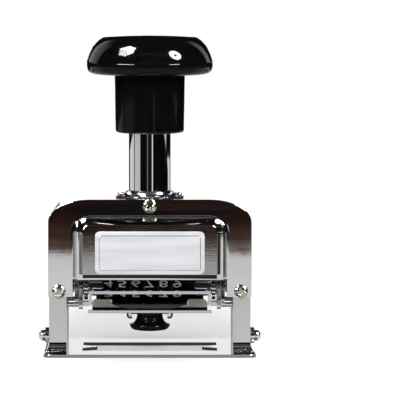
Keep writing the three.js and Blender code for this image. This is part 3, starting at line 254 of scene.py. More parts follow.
# Pieces that look unlike the rest of their slot
BY_NODE = {
    "base_plate": "base_steel",
    "front_cover": "cover_chrome",
    "back_cover": "cover_chrome",
    "plunger_tube": "tube_chrome",
    "ink_carrier": "bright_steel",
    "pad_tray": "dull_nickel",
    "knob_clip": "blued_steel",
    "pawl_comb": "blued_steel",
    "head_block": "machined_steel",
    "side_plate_left": "lever_chrome",
    "side_plate_right": "lever_chrome",
    "shaft_collar_left": "lever_chrome",
    "shaft_collar_right": "lever_chrome",
    "repeat_dial": "lever_chrome",
    "wheel_shaft": "lever_chrome",
    "front_cover_screw_left": "screw_nickel",
    "front_cover_screw_right": "screw_nickel",
    "front_cover_screw_top": "screw_nickel",
}
# More finishes of a piece. The functions of CHANGES give some faces the first one by material
# index 1, and the second by 2
MORE_FINISHES = {
    "front_cover": ["brushed_chrome"],
    "back_cover": ["brushed_chrome"],
    "pad_tray": ["bright_steel", "ink_and_shade_metal"],
    "nameplate": ["lever_chrome"],
    "frame_yoke": ["lever_chrome"],
}


def finish_of(node):
    """The finish that most of a piece has."""
    return MATERIALS[BY_NODE.get(node, BY_SLOT[slot_of[node]])]


# Copies of the CAD pieces, with rounded edges

WELD = 0.001 * MM  # points nearer than this are one
FLAT_ANGLE = math.radians(0.6)
BEVEL_SEGMENTS = 2
SHARP_DEGREES = 34


@contextmanager
def edited(mesh):
    """Opens a mesh for changes, and writes them back at the end."""
    work = bmesh.new()
    work.from_mesh(mesh)
    yield work
    work.to_mesh(mesh)
    work.free()


def link(name, data):
    """Puts a mesh, a lamp or the like into the scene under a name."""
    piece = bpy.data.objects.new(name, data)
    bpy.context.scene.collection.objects.link(piece)
    return piece


def applied(piece):
    """Bakes a piece's modifiers into its mesh."""
    graph = bpy.context.evaluated_depsgraph_get()
    baked = bpy.data.meshes.new_from_object(piece.evaluated_get(graph))
    piece.modifiers.clear()
    piece.data = baked
    return piece


def settle(piece, node, *others):
    """The piece rides where its CAD node rides, and stands for it."""
    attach(piece, body_of[node])
    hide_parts(node, *others)


def smooth(mesh, sharp_degrees):
    """Shades a mesh smoothly, except across edges sharper than this."""
    mesh.polygons.foreach_set("use_smooth", [True] * len(mesh.polygons))
    mesh.set_sharp_from_angle(angle=math.radians(sharp_degrees))


def bevel_edges(piece, width, sharp_degrees):
    """Rounds the edges sharper than this, once the piece's modifiers are applied."""
    bevel = piece.modifiers.new("edges", "BEVEL")
    bevel.width = width
    bevel.segments = BEVEL_SEGMENTS
    bevel.limit_method = "ANGLE"
    bevel.angle_limit = math.radians(sharp_degrees)


def copied_mesh(node):
    """A CAD node's mesh with its flat faces whole again."""
    mesh = nodes[node].data.copy()
    mesh.materials.clear()
    with edited(mesh) as work:
        bmesh.ops.remove_doubles(work, verts=work.verts, dist=WELD)
        bmesh.ops.dissolve_limit(work, angle_limit=FLAT_ANGLE, verts=work.verts, edges=work.edges)
    return mesh


def rounded(node, edge_mm, sharp_degrees=SHARP_DEGREES, change=None):
    """A copy of a CAD piece, changed by a function if one is given, with its edges rounded."""
    mesh = copied_mesh(node)
    if change:
        change(mesh)
    piece = link(f"{node}_finish", mesh)
    mesh.materials.append(finish_of(node))
    for finish in MORE_FINISHES.get(node, []):
        mesh.materials.append(MATERIALS[finish])
    bevel_edges(piece, edge_mm * MM, sharp_degrees)
    weigh = piece.modifiers.new("normals", "WEIGHTED_NORMAL")
    weigh.keep_sharp = True
    smooth(mesh, sharp_degrees)
    return applied(piece)


# Screws turned anew, with a cross or a straight slot in the head

SCREW_SIDES = 32
DOME_STEPS = 6
DOME_RIM_SHARE = 0.4  # of a head's height, how much of its side is straight
RECESS_SHARE = 0.62  # of the head's radius, how far the cross reaches
SLOT_SHARE = 0.2  # of the head's radius, half the width of a slot
SINK_SHARE = 0.72  # of the head's height, how deep the recess goes
SCREW_EDGE = 0.06 * MM
SCREW_SHARP_DEGREES = 40

COVER_HEAD = {"radius": 2.75 * MM, "height": 1.5 * MM, "shank": 1.3 * MM, "cross": True}
BUSH_HEAD = {"radius": 1.6 * MM, "height": 1.1 * MM, "shank": 0.8 * MM, "cross": True}
PLATE_HEAD = {"radius": 1.7 * MM, "height": 1.0 * MM, "shank": 0.9 * MM, "cross": False}
GUIDE_HEAD = {"radius": 1.8 * MM, "height": 1.0 * MM, "shank": 1.0 * MM, "cross": False}
# The foot of the side screws' head is a washer, which takes a share of the head's height
SIDE_HEAD = {
    "radius": 2.05 * MM,
    "height": 4.0 * MM,
    "shank": 1.2 * MM,
    "cross": False,
    "washer_share": 0.35,
}

FORWARD = (0, -1, 0)
BACKWARD = (0, 1, 0)
LEFT = (-1, 0, 0)
RIGHT = (1, 0, 0)
UP = (0, 0, 1)
# The head's shape, where it points to, and how far the recess is turned, in degrees
SCREWS = {
    "front_cover_screw_left": (COVER_HEAD, FORWARD, 38),
    "front_cover_screw_right": (COVER_HEAD, FORWARD, 12),
    "front_cover_screw_top": (COVER_HEAD, FORWARD, 45),
    "back_cover_screw_left": (COVER_HEAD, BACKWARD, 20),
    "back_cover_screw_right": (COVER_HEAD, BACKWARD, 66),
    "stop_screw": (COVER_HEAD, BACKWARD, 31),
    "bush_screw_left": (BUSH_HEAD, UP, 25),
    "bush_screw_right": (BUSH_HEAD, UP, 70),
    "side_screw_left": (SIDE_HEAD, LEFT, 35),
    "side_screw_right": (SIDE_HEAD, RIGHT, 110),
    "guide_screw_left": (GUIDE_HEAD, RIGHT, 15),
    "guide_screw_right": (GUIDE_HEAD, LEFT, 80),
    "side_plate_screw_front_left": (PLATE_HEAD, LEFT, 50),
    "side_plate_screw_rear_left": (PLATE_HEAD, LEFT, 10),
    "side_plate_screw_front_right": (PLATE_HEAD, RIGHT, 120),
    "side_plate_screw_rear_right": (PLATE_HEAD, RIGHT, 75),
}


def lathe(profile):
    """A turned mesh round +Z from (radius, height) points, the first and last on the axis."""
    mesh = bpy.data.meshes.new("turned")
    with edited(mesh) as work:
        first = work.verts.new((0, 0, profile[0][1]))
        last = work.verts.new((0, 0, profile[-1][1]))
        rings = []
        for radius, height in profile[1:-1]:
            ring = []
            for i in range(SCREW_SIDES):
                turn = 2 * math.pi * i / SCREW_SIDES
                ring.append(work.verts.new((radius * math.cos(turn), radius * math.sin(turn), height)))
            rings.append(ring)
        for i in range(SCREW_SIDES):
            j = (i + 1) % SCREW_SIDES
            work.faces.new((first, rings[0][j], rings[0][i]))
            work.faces.new((last, rings[-1][i], rings[-1][j]))
            for lower, upper in zip(rings, rings[1:]):
                work.faces.new((lower[i], lower[j], upper[j], upper[i]))
        bmesh.ops.recalc_face_normals(work, faces=work.faces)
    return mesh


def box_mesh(half_x, half_y, low, high):
    """A box round the Z axis, between two heights."""
    mesh = bpy.data.meshes.new("cutter")
    with edited(mesh) as work:
        bmesh.ops.create_cube(work, size=1)
        for vertex in work.verts:
            # The cube reaches from -0.5 to 0.5 along each axis
            x, y, z = vertex.co
            vertex.co = Vector((x * 2 * half_x, y * 2 * half_y, low + (z + 0.5) * (high - low)))
    return mesh


def carved(piece, cutters):
    """Cuts helper meshes out of a piece, and removes the helpers."""
    helpers = []
    for mesh in cutters:
        helper = link("cutter", mesh)
        helper.matrix_world = piece.matrix_world
        helpers.append(helper)
        cut = piece.modifiers.new("cut", "BOOLEAN")
        cut.operation = "DIFFERENCE"
        cut.object = helper
        cut.solver = "EXACT"
    bpy.context.view_layer.update()
    applied(piece)
    for helper in helpers:
        bpy.data.objects.remove(helper)


def dome_points(radius, low, high):
    """A pan head's side and rounded top, from its rim to the axis."""
    rise = (high - low) * DOME_RIM_SHARE
    points = [(radius, low)]
    for i in range(DOME_STEPS + 1):
        turn = math.pi / 2 * i / DOME_STEPS
        reach = radius * math.cos(turn) if i < DOME_STEPS else 0
        points.append((reach, low + rise + (high - low - rise) * math.sin(turn)))
    return points


def screw_profile(head, head_radius, length, widest):
    """(radius, height) points from the tip of the shank to the top of the head, at height 0."""
    foot = -head["height"]
    points = [(0, -length), (head["shank"], -length), (head["shank"], foot)]
    if "washer_share" in head:
        washer_top = foot * (1 - head["washer_share"])
        points += [(widest, foot), (widest, washer_top)]
        foot = washer_top
    return points + dome_points(head_radius, foot, 0)


def recess_cutters(head, head_radius):
    """What is cut out of a head: one box for a slot, two for a cross."""
    slot = head_radius * SLOT_SHARE
    height = head["height"]
    depth = height * SINK_SHARE * (1 - head.get("washer_share", 0) / 2)
    if head["cross"]:
        reach = head_radius * RECESS_SHARE
        return [box_mesh(reach, slot, -depth, height), box_mesh(slot, reach, -depth, height)]
    return [box_mesh(head_radius * 2, slot, -depth, height)]


def add_screw(node, head, outward, turn_degrees):
    """A screw on the CAD screw's own axis, as long as that one and at most as wide."""
    low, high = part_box(node)
    size = high - low
    axis = Vector(outward)
    along = [abs(axis[i]) for i in range(3)].index(1)
    widest = min(size[i] for i in range(3) if i != along) / 2
    head_radius = min(head["radius"], widest)
    head_top = (low + high) / 2
    head_top[along] = high[along] if axis[along] > 0 else low[along]
    piece = link(f"{node}_finish", lathe(screw_profile(head, head_radius, size[along], widest)))
    facing = axis.to_track_quat("Z", "Y").to_matrix().to_4x4()
    turn = Matrix.Rotation(math.radians(turn_degrees), 4, "Z")
    piece.matrix_world = Matrix.Translation(head_top) @ facing @ turn
    carved(piece, recess_cutters(head, head_radius))
    piece.data.transform(piece.matrix_world)
    piece.matrix_world = Matrix.Identity(4)
    bevel_edges(piece, SCREW_EDGE, SCREW_SHARP_DEGREES)
    smooth(piece.data, SCREW_SHARP_DEGREES)
    applied(piece)
    piece.data.materials.clear()
    piece.data.materials.append(finish_of(node))
    settle(piece, node)


for node, (head, outward, turn) in SCREWS.items():
    add_screw(node, head, outward, turn)

# Number wheels with raised digits

DIGITS = 10
TYPE_RADIUS = 6.3 * MM
LAND_RADIUS = 6.05 * MM
TYPE_WIDTH = 3.9 * MM
DIGIT_HEIGHT = 2.7 * MM
DIGIT_WIDTH = 3.3 * MM
DIGIT_ROOT = 0.1 * MM  # how deep a digit reaches into its land
DIGIT_CURVE_STEPS = 3
WHEEL_EDGE_MM = 0.08
WHEEL_SHARP_DEGREES = 30
WHEEL_FINISHES = ["type_metal", "digit_metal", "ink_and_shade_metal"]
PRINTED = (1, 2, 3, 4, 5, 6)  # the digit of each wheel that faces the paper
INK_AND_SHADE_STEPS = (0, 1, DIGITS - 1)  # the three lowest digits, darkened as painted shade under the wheel; the printing one also carries real ink


def lowered_lands(axis_height):
    """A function that makes room on a wheel's lands for the height of the digits."""

    def change(mesh):
        for vertex in mesh.vertices:
            radius = math.hypot(vertex.co.y, vertex.co.z - axis_height)
            if radius > LAND_RADIUS:
                share = LAND_RADIUS / radius
                vertex.co.y *= share
                vertex.co.z = axis_height + (vertex.co.z - axis_height) * share

    return change


def digit_mesh(digit, centre_x, axis_height, turn):
    """One digit raised from the wheel, mirrored as type is, wrapped round the shaft's axis."""
    curve = bpy.data.curves.new("digit", "FONT")
    curve.body = str(digit)
    curve.align_x = "CENTER"
    # The curve's own size and depth don't matter, because each digit is scaled to its place
    curve.size = 1.0
    curve.extrude = 0.5
    curve.resolution_u = DIGIT_CURVE_STEPS
    holder = link("digit", curve)
    graph = bpy.context.evaluated_depsgraph_get()
    mesh = bpy.data.meshes.new_from_object(holder.evaluated_get(graph))
    bpy.data.objects.remove(holder)
    lows = [min(vertex.co[i] for vertex in mesh.vertices) for i in range(3)]
    highs = [max(vertex.co[i] for vertex in mesh.vertices) for i in range(3)]
    for vertex in mesh.vertices:
        share = [(vertex.co[i] - lows[i]) / (highs[i] - lows[i]) for i in range(3)]
        radius = LAND_RADIUS - DIGIT_ROOT + (TYPE_RADIUS - LAND_RADIUS + DIGIT_ROOT) * share[2]
        angle = turn + (share[1] - 0.5) * DIGIT_HEIGHT / TYPE_RADIUS
        x = centre_x + (share[0] - 0.5) * DIGIT_WIDTH
        vertex.co = Vector((x, radius * math.cos(angle), axis_height + radius * math.sin(angle)))
    return mesh


def joined(name, parts, materials):
    """One mesh of several, each given with its place in the list of materials."""
    mesh = bpy.data.meshes.new(name)
    with edited(mesh) as work:
        for part, material_index in parts:
            start = len(work.faces)
            work.from_mesh(part)
            work.faces.ensure_lookup_table()
            for face in work.faces[start:]:
                face.material_index = material_index
    for material in materials:
        mesh.materials.append(material)
    return mesh


def add_wheel(node, printed):
    """A number wheel with its ten digits, the printed one facing the paper."""
    low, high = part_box(node)
    axis_height = (low.z + high.z) / 2
    centre_x = low.x + TYPE_WIDTH / 2
    blank = rounded(node, WHEEL_EDGE_MM, WHEEL_SHARP_DEGREES, lowered_lands(axis_height))
    parts = [(blank.data, 0)]
    for step in range(DIGITS):
        # Step 0 faces the paper, and the digits count up towards the front
        turn = -math.pi / 2 - 2 * math.pi * step / DIGITS
        # The lowest digits get dark metal: painted shade under the wheel, with real ink on the printing
        # digit
        finish = "ink_and_shade_metal" if step in INK_AND_SHADE_STEPS else "digit_metal"
        mesh = digit_mesh((printed + step) % DIGITS, centre_x, axis_height, turn)
        parts.append((mesh, WHEEL_FINISHES.index(finish)))
    mesh = joined(f"{node}_finish", parts, [MATERIALS[name] for name in WHEEL_FINISHES])
    bpy.data.objects.remove(blank)
    smooth(mesh, WHEEL_SHARP_DEGREES)
    settle(link(f"{node}_finish", mesh), node)


for i, printed in enumerate(PRINTED):
    add_wheel(f"number_wheel_{i + 1}", printed)

# Everything else, by its edge radius in mm

EDGES = {
    "base_plate": 0.25,
    "frame_yoke": 0.35,
    "front_cover": 0.4,
    "back_cover": 0.4,
    "nameplate": 0.07,
    "plunger_bush": 0.2,
    "knob": 0.3,
    "plunger_tube": 0.15,
    "head_block": 0.3,
    "bumper_ring": 0.3,
    "side_plate_left": 0.2,
    "side_plate_right": 0.2,
    "guide_plate_left": 0.15,
    "guide_plate_right": 0.15,
    "guide_roller_left": 0.15,
    "guide_roller_right": 0.15,
    "wheel_shaft": 0.15,
    "shaft_collar_left": 0.2,
    "shaft_collar_right": 0.2,
    "detent_comb": 0.1,
    "repeat_dial": 0.15,
    "repeat_pointer": 0.15,
    "ink_carrier": 0.4,
    "pad_tray": 0.15,
    "ink_pad": 0.3,
    "tray_knob": 0.3,
    "knob_clip": 0.1,
    "pawl_rocker": 0.2,
    "pawl_comb": 0.1,
    "spring_seat": 0.15,
    "tube_plug": 0.2,
    "base_screw_front_left": 0.1,
    "base_screw_front_right": 0.1,
    "base_screw_rear_left": 0.1,
    "base_screw_rear_right": 0.1,
}
# The hem of the hood: how far above its lower edge its face starts to turn in, is fully turned,
# and turns down again to a narrow lip, and how deep it lies at each of these
HEM = [(2.1 * MM, 0.0), (1.9 * MM, 0.06 * MM), (0.75 * MM, 0.66 * MM)]
FACING_SHARE = 0.9  # a face whose normal has this much of one direction looks that way
FACE_DEPTH = 0.3 * MM  # how near to the hood's foremost plane its face is looked for
RIM_DROP = 0.5 * MM
RIM_HASTE = 4  # how soon up the arch's corner the whole drop is reached
RIM_DRAW_SHARE = 0.012  # how far the rear cover's corners are drawn in
KNOB_CROWN = 4 * MM  # the topmost part of the knob, where its shoulder is eased
KNOB_DROP = 0.45 * MM
KNOB_DRAW_SHARE = 0.045  # how far the shoulder is drawn in at the top
PLATE_BORDER = 1.1 * MM
PLATE_STEP = 0.25 * MM
PLATE_SLOPE = 0.22 * MM
LIP_DEPTH = 0.8 * MM  # how far the tray's bright front lip reaches back
SHADE_LINE = 0.9 * MM  # how high above the lip the painted shadow reaches up the tray's front wall
FLARE_TOP = 5 * MM
ARCH_RISE = 8.4 * MM  # the height of the arch's corners
YOKE_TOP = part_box("frame_yoke")[1].z
ARCH_FOOT = YOKE_TOP - ARCH_RISE


def cut_level(work, height):
    """Splits every face that crosses a height."""
    everything = work.verts[:] + work.edges[:] + work.faces[:]
    bmesh.ops.bisect_plane(work, geom=everything, plane_co=(0, 0, height), plane_no=UP)


def hood_change(facing, rim_drop=0.0, rim_draw_share=0.0):
    """A function that brushes a hood's face, and turns its lower edge in and down to a narrow lip.

    facing is -1 for the front cover and 1 for the rear one. rim_drop lowers the top of the arch,
    and rim_draw_share narrows it, so that the rear cover's rim is level with the frame.
    """

    def change(mesh):
        with edited(mesh) as work:
            foremost = max(vertex.co.y * facing for vertex in work.verts)
            at_front = [vertex for vertex in work.verts if vertex.co.y * facing > foremost - FACE_DEPTH]
            foot = min(vertex.co.z for vertex in at_front)
            for rise, _ in HEM:
                cut_level(work, foot + rise)
            for face in work.faces:
                centre = face.calc_center_median()
                looks_out = face.normal.y * facing > FACING_SHARE
                is_face = looks_out and centre.y * facing > foremost - FACE_DEPTH
                if is_face and centre.z > foot + HEM[0][0]:
                    face.material_index = 1
            for vertex in work.verts:
                if vertex.co.y * facing > foremost - FACE_DEPTH:
                    depths = [depth for rise, depth in HEM if vertex.co.z < foot + rise + WELD]
                    vertex.co.y -= max(depths, default=0) * facing
                climb_share = (vertex.co.z - ARCH_FOOT) / (YOKE_TOP - ARCH_FOOT)
                rim_share = max(0, min(1, RIM_HASTE * climb_share))
                vertex.co.z -= rim_drop * rim_share
                vertex.co.x *= 1 - rim_draw_share * rim_share

    return change


def front_face(work):
    """The largest face that looks forward."""
    return max(work.faces, key=lambda face: -face.normal.y * face.calc_area())


def plate_change(mesh):
    """A flat border round a panel that stands a little proud. The panel is left bare."""
    with edited(mesh) as work:
        bmesh.ops.inset_region(work, faces=[front_face(work)], thickness=PLATE_BORDER)
        slopes = bmesh.ops.inset_region(work, faces=[front_face(work)], thickness=PLATE_SLOPE)
        for face in slopes["faces"]:
            face.material_index = 1
        kept = set(front_face(work).verts)
        foremost = min(vertex.co.y for vertex in kept)
        for vertex in work.verts:
            if vertex not in kept and vertex.co.y < foremost + WELD:
                vertex.co.y += PLATE_STEP


def tray_change(mesh):
    """The tray's front lip is brighter, and the foot of the wall behind it is painted dark, as painted
    shadow behind the lip.
    """
    with edited(mesh) as work:
        foremost = min(vertex.co.y for vertex in work.verts)
        lip_top = max(vertex.co.z for vertex in work.verts if vertex.co.y < foremost + WELD)
        shade_top = lip_top + SHADE_LINE
        cut_level(work, shade_top)
        for face in work.faces:
            centre = face.calc_center_median()
            if centre.y < foremost + LIP_DEPTH:
                face.material_index = 1
            elif face.normal.y < -FACING_SHARE and centre.z < shade_top:
                # Painted shadow: the foot of the front wall gets dark metal
                face.material_index = 2


def yoke_change(mesh):
    """The flared feet and the bridge are polished, and the legs between them are satin."""
    for face in mesh.polygons:
        if face.center.z < FLARE_TOP or face.center.z > ARCH_FOOT:
            face.material_index = 1


def knob_change(mesh):
    """The knob's shoulder is rounder and its top a little lower."""
    crown_foot = max(vertex.co.z for vertex in mesh.vertices) - KNOB_CROWN
    for vertex in mesh.vertices:
        climb_share = max(0, (vertex.co.z - crown_foot) / KNOB_CROWN)
        vertex.co.x *= 1 - KNOB_DRAW_SHARE * climb_share
        vertex.co.y *= 1 - KNOB_DRAW_SHARE * climb_share
        vertex.co.z -= KNOB_DROP * climb_share


CHANGES = {
    "front_cover": hood_change(-1),
    "back_cover": hood_change(1, RIM_DROP, RIM_DRAW_SHARE),
    "knob": knob_change,
    "nameplate": plate_change,
    "pad_tray": tray_change,
    "frame_yoke": yoke_change,
}
for node, edge_mm in EDGES.items():
    settle(rounded(node, edge_mm, change=CHANGES.get(node)), node)

# The return spring keeps the CAD spring's shape, with its own finish
spring = link("return_spring_finish", nodes["return_spring"].data.copy())
spring.data.materials.clear()
spring.data.materials.append(finish_of("return_spring"))
settle(spring, "return_spring")
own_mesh(spring)

# Floor, and cards that only gloss sees


def flat_material(name, colour, strength=1.0):
    """An even glow that no light changes."""
    material, tree_nodes, links = new_material(name)
    tree_nodes.clear()
    emission = tree_nodes.new("ShaderNodeEmission")
    emission.inputs["Color"].default_value = colour
    emission.inputs["Strength"].default_value = strength
    output = tree_nodes.new("ShaderNodeOutputMaterial")
    links.new(emission.outputs["Emission"], output.inputs["Surface"])
    return material


def hide_from_all_but_gloss(piece):
    """Only reflections show the piece from now on."""
    piece.visible_camera = False
    piece.visible_diffuse = False
    piece.visible_transmission = False
    piece.visible_shadow = False


def rectangle(half_width, low, high):
    """The corners of a rectangle that is as wide to the left of 0 as to the right."""
    return [(-half_width, low), (half_width, low), (half_width, high), (-half_width, high)]


def flat_mesh(name, corners):
    """A mesh of one face."""
    mesh = bpy.data.meshes.new(name)
    mesh.from_pydata(corners, [], [tuple(range(len(corners)))])
    return mesh


def sheet(name, corners, material, reflection_only=True):
    """One flat face of the stage, by its corners in the scene."""
    mesh = flat_mesh(name, corners)
    mesh.materials.append(material)
    piece = link(name, mesh)
    if reflection_only:
        hide_from_all_but_gloss(piece)
    return piece


FLOOR_HALF = 1800 * MM
FLOOR_DROP = 0.02 * MM
FLOOR_WHITE = srgb(250, 250, 250)
FLOOR_ROUGHNESS = 0.9
floor_material, floor_nodes, _ = new_material("floor_white")
floor_principled = floor_nodes["Principled BSDF"]
floor_principled.inputs["Base Color"].default_value = FLOOR_WHITE
floor_principled.inputs["Roughness"].default_value = FLOOR_ROUGHNESS
floor_principled.inputs["Specular IOR Level"].default_value = 0.0
floor_corners = [(x, y, -FLOOR_DROP) for x, y in rectangle(FLOOR_HALF, -FLOOR_HALF, FLOOR_HALF)]
floor = sheet("floor", floor_corners, floor_material, reflection_only=False)
floor.visible_glossy = False

# What the metal sees below itself: a pale table, painted shade under the stamp, and painted shade in
# front of it that the hood's hem mirrors. By name: screen colour, half width, front, rear and height
CARD_DISTANCE = 378 * MM  # how far ahead the pale table ends, where brown bands stand
TABLE_CARDS = [
    ("table", (221, 222, 220), FLOOR_HALF, -CARD_DISTANCE, FLOOR_HALF, -2 * FLOOR_DROP),
    ("shade", (96, 93, 90), 42 * MM, -22 * MM, 22 * MM, -FLOOR_DROP),
    # painted shade ahead of the stamp, which the hem mirrors as a dark band
    ("hem", (46, 44, 43), 29 * MM, -84 * MM, -35 * MM, -FLOOR_DROP),
]
for name, colour, half_width, front, rear, height in TABLE_CARDS:
    corners = [(x, y, height) for x, y in rectangle(half_width, front, rear)]
    sheet(f"{name}_reflection", corners, flat_material(f"{name}_card", srgb(*colour)))

# Upright bands at the front end of the table: lowest and highest point in mm, and screen colour
BAND_HALF_WIDTH = 150 * MM
BROWN_BANDS = [
    ("brown_low", 0, 7, (72, 47, 37)),
    ("brown_middle", 7, 15, (56, 37, 29)),
    ("brown_high", 15, 27, (36, 24, 18)),
]
for name, low, high, colour in BROWN_BANDS:
    corners = [(x, -CARD_DISTANCE, z) for x, z in rectangle(BAND_HALF_WIDTH, low * MM, high * MM)]
    sheet(name, corners, flat_material(name, srgb(*colour)))

# Upright cards on rings, by name, ring radius in mm, first and last bearing in degrees from
# straight ahead with the right positive, the lowest point at both ends and the highest at both
# ends in mm, and screen colour
FAR = 520
NEAR = 250
LOW = (0, 0)
SLOPE = (30, 30)  # up to here the hood's slopes see a card
SKIRT = (51, 51)  # up to here the tube sees a card, above it the knob's skirt does
HIGH = (150, 150)
CEILING = (640, 640)
BLACK = (8, 7, 7)
DARK = (16, 14, 13)
RING_CARDS = [
    ("tube_edge", FAR, -171, -140, LOW, (60, 60), (30, 24, 24)),
    ("tube_wedge", FAR, -164, -97, (34, 52), HIGH, (24, 18, 18)),
    ("dark_line", FAR, -97, -91, LOW, SKIRT, (34, 22, 22)),
    ("pink_side", FAR, -90, -54, LOW, SKIRT, (206, 198, 196)),
    ("pink_above", FAR, -97, -54, SKIRT, HIGH, (40, 38, 38)),
    ("navy_side", FAR, -54, -15, LOW, HIGH, (10, 11, 18)),
    ("grey_middle", FAR, -15, -10, LOW, SKIRT, (120, 118, 116)),
    ("dark_middle", FAR, -10, 11, LOW, HIGH, (22, 20, 20)),
    ("white_strip", FAR, 11.5, 16.5, LOW, SKIRT, (255, 252, 248)),
    ("black_side", FAR, 18, 81, LOW, HIGH, BLACK),
    ("black_above", FAR, 81, 101, (56, 56), HIGH, BLACK),
    ("black_low", FAR, 81, 118, LOW, (54, 30), BLACK),
    ("black_high", FAR, 101, 144, (36, 36), HIGH, BLACK),
    ("right_edge", FAR, 144, 160, LOW, (118, 118), (14, 12, 12)),
    ("dark_left_high", FAR, -112, -60, HIGH, CEILING, DARK),
    ("dark_right_high", FAR, 60, 126, HIGH, CEILING, DARK),
    ("dark_rear", FAR, 142, 212, (128, 128), CEILING, DARK),
    ("slope_left_rear", NEAR, -148, -128, LOW, SLOPE, (74, 71, 69)),
    ("slope_left_front", NEAR, -90, -78, LOW, SLOPE, (116, 114, 112)),
    ("slope_left_side", NEAR, -56, -40, LOW, SLOPE, (122, 120, 118)),
    ("slope_right_side", NEAR, 40, 56, LOW, SLOPE, (130, 128, 126)),
    ("slope_right_line", NEAR, 57, 71, LOW, SLOPE, (18, 17, 16)),
    ("slope_right_front", NEAR, 78, 90, LOW, SLOPE, (52, 50, 49)),
    ("slope_right_rear", NEAR, 128, 148, LOW, SLOPE, (66, 64, 63)),
]
RING_STEPS = 8


def ring_card(name, radius, start, end, lows, highs, colour):
    """A curved card, as a row of upright sheets."""
    material = flat_material(name, srgb(*colour))
    for i in range(RING_STEPS):
        spots = []
        for share in (i / RING_STEPS, (i + 1) / RING_STEPS):
            bearing = math.radians(start + (end - start) * share)
            low = lows[0] + (lows[1] - lows[0]) * share
            high = highs[0] + (highs[1] - highs[0]) * share
            spots.append((radius * math.sin(bearing), -radius * math.cos(bearing), low, high))
        (x0, y0, low0, high0), (x1, y1, low1, high1) = spots
        corners = [(x0, y0, low0), (x1, y1, low1), (x1, y1, high1), (x0, y0, high0)]
        sheet(f"{name}_{i}", [Vector(corner) * MM for corner in corners], material)


for card in RING_CARDS:
    ring_card(*card)

# World

WHITE = (1, 1, 1, 1)
DARK_ROOM = srgb(20, 17, 16)
REAR_GLOW = 1.3  # how bright gloss sees the wall behind, as a multiple of white
ROOM_LIGHT = 0.8  # what the world gives to matt surfaces; the key light gives the rest
WALL_FADE = (-0.3, -0.05)  # a direction's Y where the wall behind starts, and where it is whole
CEILING_FADE = (0.75, 0.5)  # a direction's Z where the dark ceiling ends, and where the wall is whole


def build_world():
    """White to the eye and to matt surfaces.

    Gloss sees a white wall behind, and a dark room above and in front.
    """
    world = bpy.data.worlds.new("studio")
    bpy.context.scene.world = world
    world.use_nodes = True
    tree_nodes = world.node_tree.nodes
    links = world.node_tree.links
    tree_nodes.clear()

    def fade(source, start, end):
        ranged = tree_nodes.new("ShaderNodeMapRange")
        ranged.interpolation_type = "SMOOTHSTEP"
        ranged.inputs["From Min"].default_value = start
        ranged.inputs["From Max"].default_value = end
        links.new(source, ranged.inputs["Value"])
        return ranged.outputs["Result"]

    def background(strength=1.0):
        node = tree_nodes.new("ShaderNodeBackground")
        node.inputs["Color"].default_value = WHITE
        node.inputs["Strength"].default_value = strength
        return node

    def mixed(factor, first, second):
        mix = tree_nodes.new("ShaderNodeMixShader")
        links.new(factor, mix.inputs["Fac"])
        links.new(first, mix.inputs[1])
        links.new(second, mix.inputs[2])
        return mix.outputs["Shader"]

    coordinates = tree_nodes.new("ShaderNodeTexCoord")
    split = tree_nodes.new("ShaderNodeSeparateXYZ")
    links.new(coordinates.outputs["Generated"], split.inputs["Vector"])
    wall = tree_nodes.new("ShaderNodeMath")
    wall.operation = "MULTIPLY"
    links.new(fade(split.outputs["Y"], *WALL_FADE), wall.inputs[0])
    links.new(fade(split.outputs["Z"], *CEILING_FADE), wall.inputs[1])
    wall_colour = (REAR_GLOW, REAR_GLOW, REAR_GLOW, 1)
    for_gloss = background()
    colour = colour_spread(tree_nodes, links, wall.outputs[0], DARK_ROOM, wall_colour)
    links.new(colour, for_gloss.inputs["Color"])
    for_matt = background(ROOM_LIGHT).outputs["Background"]
    for_the_eye = background().outputs["Background"]
    paths = tree_nodes.new("ShaderNodeLightPath")
    around = mixed(paths.outputs["Is Camera Ray"], for_matt, for_the_eye)
    everything = mixed(paths.outputs["Is Glossy Ray"], around, for_gloss.outputs["Background"])
    output = tree_nodes.new("ShaderNodeOutputWorld")
    links.new(everything, output.inputs["Surface"])


build_world()

# Lamps for matt surfaces

LIGHT_TARGET = Vector((0, -20 * MM, 112 * MM))
SOFTBOX_DISTANCE = 900 * MM
# One round softbox on each side, by name, bearing and elevation in degrees, width, and power in watts
SOFTBOXES = [
    ("left_softbox", -62.8, 45.4, 300 * MM, 0.6),
    ("right_softbox", 62.7, 45.3, 220 * MM, 0.4),
]
# A wide low sun behind the camera
KEY_BEARING = 0
KEY_ELEVATION = 23
KEY_DISTANCE = 1000 * MM
KEY_WIDTH_DEGREES = 16
KEY_STRENGTH = 2.3


def toward(bearing, elevation):
    """The direction at a bearing from straight ahead, right positive, and an elevation, in degrees."""
    level = math.cos(math.radians(elevation))
    turn = math.radians(bearing)
    return Vector((level * math.sin(turn), -level * math.cos(turn), math.sin(math.radians(elevation))))


def place(thing, bearing, elevation, distance):
    """Puts a lamp or a card round the knob, facing it."""
    direction = toward(bearing, elevation)
    thing.location = LIGHT_TARGET + direction * distance
    thing.rotation_euler = direction.to_track_quat("Z", "Y").to_euler()


def add_lamp(name, kind, bearing, elevation, distance, energy):
    """A lamp that gloss doesn't see."""
    data = bpy.data.lights.new(name, kind)
    data.energy = energy
    lamp = link(name, data)
    place(lamp, bearing, elevation, distance)
    lamp.visible_glossy = False
    return data


for name, bearing, elevation, width, power in SOFTBOXES:
    softbox = add_lamp(name, "AREA", bearing, elevation, SOFTBOX_DISTANCE, power)
    softbox.shape = "DISK"
    softbox.size = width

key = add_lamp("key_sun", "SUN", KEY_BEARING, KEY_ELEVATION, KEY_DISTANCE, KEY_STRENGTH)
key.angle = math.radians(KEY_WIDTH_DEGREES)

# What the gloss of the knob and the hood sees of the lamps

